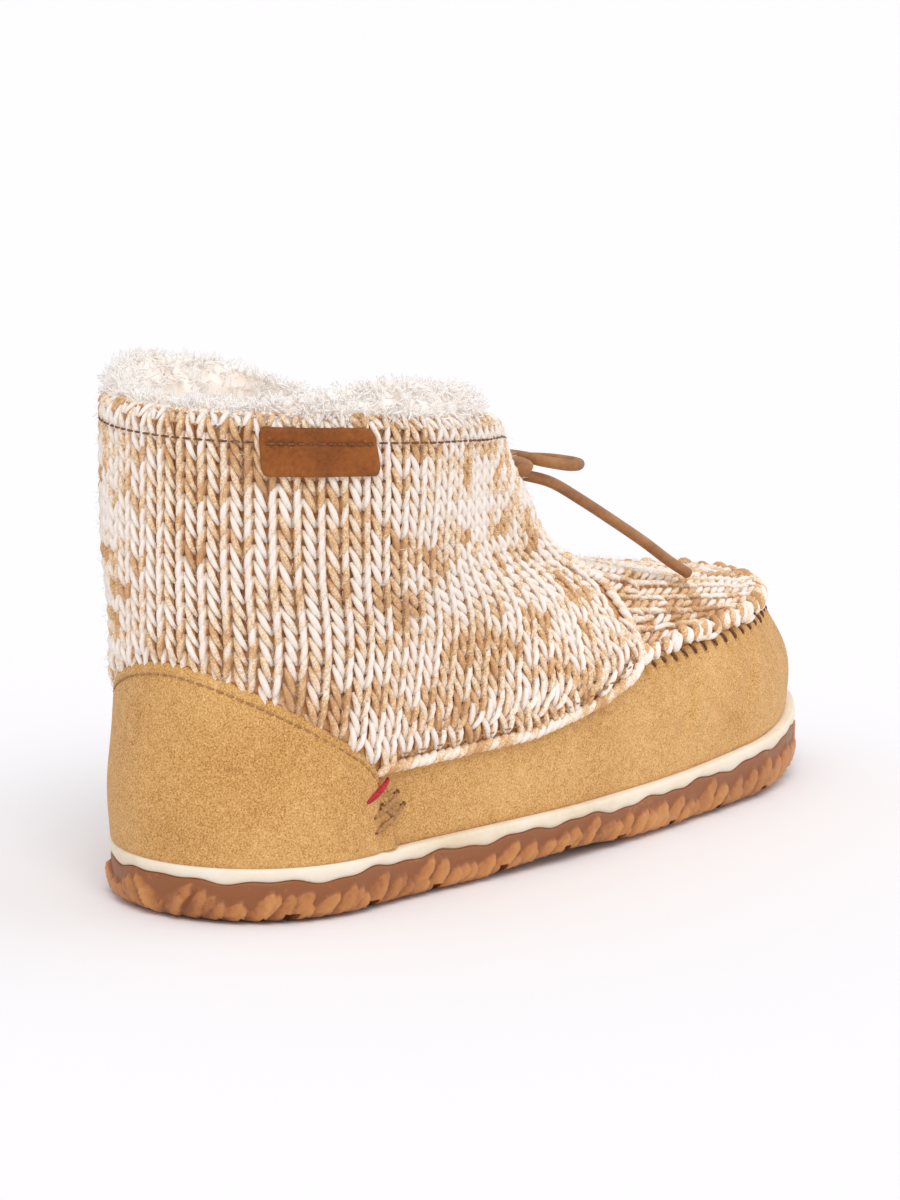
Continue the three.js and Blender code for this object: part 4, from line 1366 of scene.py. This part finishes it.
# %% Tread grooves
GROOVE_HALF, GROOVE_DEPTH, CHEVRON, BEYOND = 1.7, 2.6, 9, 60
CHEVRON_PLAN = np.array([
    (-GROOVE_HALF - CHEVRON, -BEYOND), (GROOVE_HALF - CHEVRON, -BEYOND), (GROOVE_HALF, 0),
    (GROOVE_HALF - CHEVRON, BEYOND), (-GROOVE_HALF - CHEVRON, BEYOND), (-GROOVE_HALF, 0),
])
PRISM = [(0, 5, 2, 1), (5, 4, 3, 2), (6, 7, 8, 11), (11, 8, 9, 10)]
PRISM += [(a, (a + 1) % 6, 6 + (a + 1) % 6, 6 + a) for a in range(6)]
groove_points, groove_faces = [], []
for x in np.arange(20.0, 240.0, 24.0):
    groove_faces += [[len(groove_points) + corner for corner in face] for face in PRISM]
    tread = float(bottom_height(x))
    for z in (tread - 3, tread + GROOVE_DEPTH):
        groove_points += [(x + px, py, z) for px, py in CHEVRON_PLAN]
cutter = piece("tread_cutter", groove_points, groove_faces, gum_rubber, smooth=False)
cut = outsole.modifiers.new("grooves", "BOOLEAN")
cut.operation, cut.solver, cut.object = "DIFFERENCE", "EXACT", cutter
applied(outsole)
bpy.data.objects.remove(cutter)
finished(outsole, "gum_rubber", "outsole")

# %% Cream midsole
cream = Finish("cream_rubber", roughness=0.6)
cream_noise = cream.grain(45, 3.0)
cream_fine = cream.grain(800, 2.0)
cream_colour = cream.ramp(
    cream_noise * 0.8 + cream_fine * 0.2,
    [(0.3, (0.76, 0.64, 0.46)), (0.5, (0.86, 0.76, 0.60)), (0.7, (0.90, 0.83, 0.71))],
)
cream_rubber = cream.feed(base_color=cream_colour, normal=cream.bump(cream_fine, 0.00008, 0.5))
cream_top = SOLE_HEIGHT + sole_lift(edge_share)
cream_low = gum_top() + 0.05
cream_rows = [outline(2.6, cream_low + 0.1)]
for share, inset in ((0, 0.75), (0.15, 0.25), (0.4, 0.0), (0.7, 0.0), (0.9, 0.2), (1, 0.6)):
    cream_rows.append(outline(inset, cream_low + (cream_top - cream_low) * share))
cream_rows.append(outline(2.6, cream_top))
midsole = stack("cream_midsole", cream_rows, cream_rubber)
finished(midsole, "cream_rubber", "midsole")

# %% [markdown]
# ## Leather label
# The label is a bare tab of brown leather with rounded corners, sewn on near its top with
# one row of dark thread. It is bent to the shaft and stands just clear of the stitches.

# %% Label
hide = Finish("label_leather", roughness=0.6, specular_ior_level=0.25)
hide_fine = hide.grain(1100, 4.0)
hide_broad = hide.grain(90, 3.0)
hide_colour = hide.ramp(
    hide_fine * 0.35 + hide_broad * 0.65,
    [(0.3, (0.15, 0.040, 0.007)), (0.5, (0.29, 0.085, 0.014)), (0.7, (0.42, 0.145, 0.030))],
)
label_leather = hide.feed(
    base_color=hide_colour,
    roughness=hide_fine * 0.4 + 0.4,
    normal=hide.bump(hide_fine, 0.0002, 0.8),
)
LABEL_FROM, LABEL_TO, LABEL_LOW, LABEL_HIGH, LABEL_SEAM = 0.5, 1.03, 5.36, 5.97, 5.78
CORNER_ROUND = 1.6


def corner(turn):
    """How far the label's edge is cut back near its ends, in levels."""
    near = np.clip(np.minimum(turn - LABEL_FROM, LABEL_TO - turn) * 54, 0, CORNER_ROUND)
    height = np.sqrt(np.clip(CORNER_ROUND**2 - (CORNER_ROUND - near) ** 2, 0, None))
    return (CORNER_ROUND - height) / 19


def label_wave(turn):
    return 0.25 * np.sin(turn * 19)


label = band(
    "leather_label",
    np.linspace(LABEL_FROM, LABEL_TO, 60),
    lambda T: LABEL_LOW + corner(T),
    lambda T: LABEL_HIGH - corner(T),
    16,
    lambda T, L: 4.85 - 0.35 * ridge(L, LABEL_SEAM, 0.025) + label_wave(T),
    lambda T, L: 3.55 + label_wave(T),
    label_leather,
    closed=False,
)
finished(label, "label_leather", "label_tab")

# %% [markdown]
# ## Sewing
# The collar is turned in and sewn down with brown thread, the counter is topstitched in
# tan near its edge, and thick hand stitches hold the counter's front corner: a red one
# above and three tan ones below it, with dark thread in their needle holes.

# %% Thread finishes
def thread(name, dark, lit):
    strand = Finish(name, roughness=0.7)
    weave = strand.grain(1600, 2.0)
    colour = strand.ramp(weave, [(0.35, dark), (0.65, lit)])
    return strand.feed(base_color=colour, normal=strand.bump(weave, 0.0002, 0.7))


brown_thread = thread("brown_thread", (0.10, 0.035, 0.012), (0.24, 0.10, 0.035))
tan_thread = thread("tan_thread", (0.30, 0.13, 0.04), (0.50, 0.27, 0.10))
red_thread = thread("red_thread", (0.30, 0.004, 0.012), (0.62, 0.015, 0.035))

# %% Sewn rows
COLLAR_SEAM_DROP, COUNTER_SEAM_DROP, HEM_SEAM_INSET = 0.22, 0.12, 3.1
s = np.linspace(0, 1, 7)
dash_route = np.stack([0 * s, -1.25 + 2.5 * s, 0.32 * np.sin(math.pi * s) - 0.12], -1)
dash = pattern("dash_pattern", [sweep(dash_route, 0.34 * plump(s, 0.12, 0.5), 6)])


def sewn_row(name, turns, levels, offset, pitch, material, slot, size=1.0):
    """Short stitches along a line on the last."""
    run = run_along(last(turns, levels, offset))
    at = np.arange(pitch / 2, run[-1], pitch)
    (t, v), ahead_of = ([np.interp(a, run, row) for row in (turns, levels)] for a in (at, at + 0.4))
    spots = last(t, v, offset)
    ways = last(*ahead_of, offset) - spots
    ways[-1] = ways[-2]
    finished(repeat(name, dash, spots, ways, last_normal(t, v), size, 0, material), slot)


for name, start, end in (("collar_row_outer", 1.05, 2.55), ("collar_row_inner", -2.55, 0.48)):
    row_turns = np.linspace(start, end, 600)
    row_levels = shaft_top(row_turns) - COLLAR_SEAM_DROP
    sewn_row(name, row_turns, row_levels, 3.2, 3.1, brown_thread, "knit", 0.9)
row_turns = np.linspace(LABEL_FROM + 0.03, LABEL_TO - 0.03, 100)
row_levels = 0 * row_turns + LABEL_SEAM
sewn_row("label_row", row_turns, row_levels, 4.8, 2.4, brown_thread, "label_leather", 0.85)
row_turns = np.linspace(-0.79, 0.79, 700)
row_levels = counter_top(row_turns) - COUNTER_SEAM_DROP
sewn_row("counter_row", row_turns, row_levels, 1.6, 2.6, tan_thread, "suede", 0.8)


def beside(turns, levels, distance):
    """The line shifted across itself by a distance on the last's surface."""
    here = last(turns, levels)
    by_turn = (last(turns + 0.01, levels) - here) / 0.01
    by_level = (last(turns, levels + 0.02) - here) / 0.02
    across = unit(np.cross(last_normal(turns, levels), np.gradient(here, axis=0))) * distance
    ways = zip(np.stack([by_turn, by_level], -1), across)
    shifted = np.array([np.linalg.lstsq(axes, step, rcond=None)[0] for axes, step in ways])
    return turns + shifted[:, 0], levels + shifted[:, 1]


for side, word in SIDES:
    hem_run = side * np.linspace(0.84, 1.70, 500)
    row_turns, row_levels = beside(hem_run, hem(hem_run) + 0.02, side * HEM_SEAM_INSET)
    sewn_row(f"hem_row_{word}", row_turns, row_levels, 3.05, 3.1, tan_thread, "knit", 0.8)
# The dark brown dashes sunk into the pleats between the knobs are partly whip-stitch thread and
# partly painted shade of the pleats.
whip_turns = both_sides(knob_runs + KNOB_PITCH / 2)
whip_low, whip_middle, whip_high = 1.86, 0 * whip_turns + 1.93, 2.02
whip_way = last(whip_turns, whip_high) - last(whip_turns + 0.012 * np.sign(whip_turns), whip_low)
whips_and_pleat_shade = repeat(
    "whip_stitches", dash, last(whip_turns, whip_middle, -0.15), whip_way,
    last_normal(whip_turns, whip_middle), (1.2, 1.5, 1.3), 0, brown_thread, wobble=0.2,
)
finished(whips_and_pleat_shade, "suede")

# %% Edge chain
CHAIN_PITCH, CHAIN_RISE, CHAIN_SLANT = 2.9, 0.03, 0.55
s = np.linspace(0, 1, 6)
bead_route = np.stack([0 * s, -2.3 + 4.6 * s, 0.5 * np.sin(math.pi * s)], -1)
bead = pattern("bead_pattern", [sweep(bead_route, 1.15 * plump(s, 0.12, 0.6), 6)])
for side, word in SIDES:
    chain_turns = side * np.linspace(0.80, 2.735, 900)
    run = run_along(last(chain_turns, hem(chain_turns) + CHAIN_RISE))
    t = np.interp(np.arange(1.0, run[-1], CHAIN_PITCH), run, chain_turns)
    spots, out = last(t, hem(t) + CHAIN_RISE, 1.7), last_normal(t, hem(t))
    ways = np.gradient(spots, axis=0)
    ways = unit(ways) + CHAIN_SLANT * unit(np.cross(out, ways)) * side
    chain = repeat(
        f"hem_chain_{word}", bead, spots, ways, out, 1, marl_tone(spots, 13), knit_yarn,
        wobble=0.08, seed=7,
    )
    finished(chain, "knit")


# %% Hand stitches
RED_HOLES = ((0.742, 0.97), (0.833, 1.28))
TAN_HOLES = (
    ((0.768, 0.67), (0.868, 1.0)), ((0.772, 0.38), (0.89, 0.77)), ((0.800, 0.86), (0.862, 0.60)),
)


def hand_stitch(name, side, holes, offset, radius, material):
    """One thick stitch from hole to hole, each a turn and a level on the last."""
    (turn, level), (end_turn, end_level) = holes
    w = np.linspace(0, 1, 12)
    hump = offset + 0.9 * np.sin(math.pi * w) ** 0.6 - 0.7
    route = last(side * (turn + (end_turn - turn) * w), level + (end_level - level) * w, hump)
    points, faces, uv = sweep(route, radius * plump(w, 0.1, 0.4), 8)
    finished(piece(name, points, faces, material, uv), "suede")


for side, word in SIDES:
    hand_stitch(f"red_stitch_{word}", side, RED_HOLES, 2.2, 0.75, red_thread)
    for k, holes in enumerate(TAN_HOLES):
        hand_stitch(f"hand_stitch_{word}_{k}", side, holes, 2.15, 0.7, tan_thread)
        for n, (hole, offset) in enumerate(zip(holes, (1.7, 1.2))):
            pricked = (hole, (hole[0] + 0.012, hole[1] + 0.035))
            hand_stitch(f"hand_hole_{word}_{k}{n}", side, pricked, offset, 0.42, brown_thread)

# %% [markdown]
# ## Floor and light
# A plain pale floor and soft studio light: a bright even surround, a broad key light from
# the left and above, and a weaker one from the right, so that the shadows stay soft. Both
# are wide suns, because they light the whole floor evenly up to the picture's edge.

# %% Floor and light
FLOOR_HALF = 30
floor_paint = Finish("pale_floor", base_color=(0.93, 0.92, 0.94, 1), roughness=0.9)
floor_mesh = bpy.data.meshes.new("floor")
corners = [(x * FLOOR_HALF, y * FLOOR_HALF, 0) for x, y in ((-1, -1), (1, -1), (1, 1), (-1, 1))]
floor_mesh.from_pydata(corners, [], [(0, 1, 2, 3)])
floor_mesh.materials.append(floor_paint.material)
floor = bpy.data.objects.new("floor", floor_mesh)
bpy.context.scene.collection.objects.link(floor)

world = bpy.data.worlds.new("studio")
bpy.context.scene.world = world
world.use_nodes = True
surround = world.node_tree.nodes["Background"]
surround.inputs["Color"].default_value = (0.98, 0.98, 1.0, 1)
surround.inputs["Strength"].default_value = 0.74
for name, towards, power, spread in (
    ("key", (0.55, 0.55, -1.0), 1.15, 35),
    ("fill", (-0.9, 0.6, -0.55), 0.45, 60),
):
    lamp = bpy.data.lights.new(name, "SUN")
    lamp.energy, lamp.angle = power, math.radians(spread)
    light_object = bpy.data.objects.new(name, lamp)
    bpy.context.scene.collection.objects.link(light_object)
    light_object.rotation_euler = Vector(towards).to_track_quat("-Z", "Y").to_euler()
bpy.context.scene.view_settings.view_transform = "Standard"

# %% Clear away the patterns
for made in patterns:
    bpy.data.objects.remove(made)
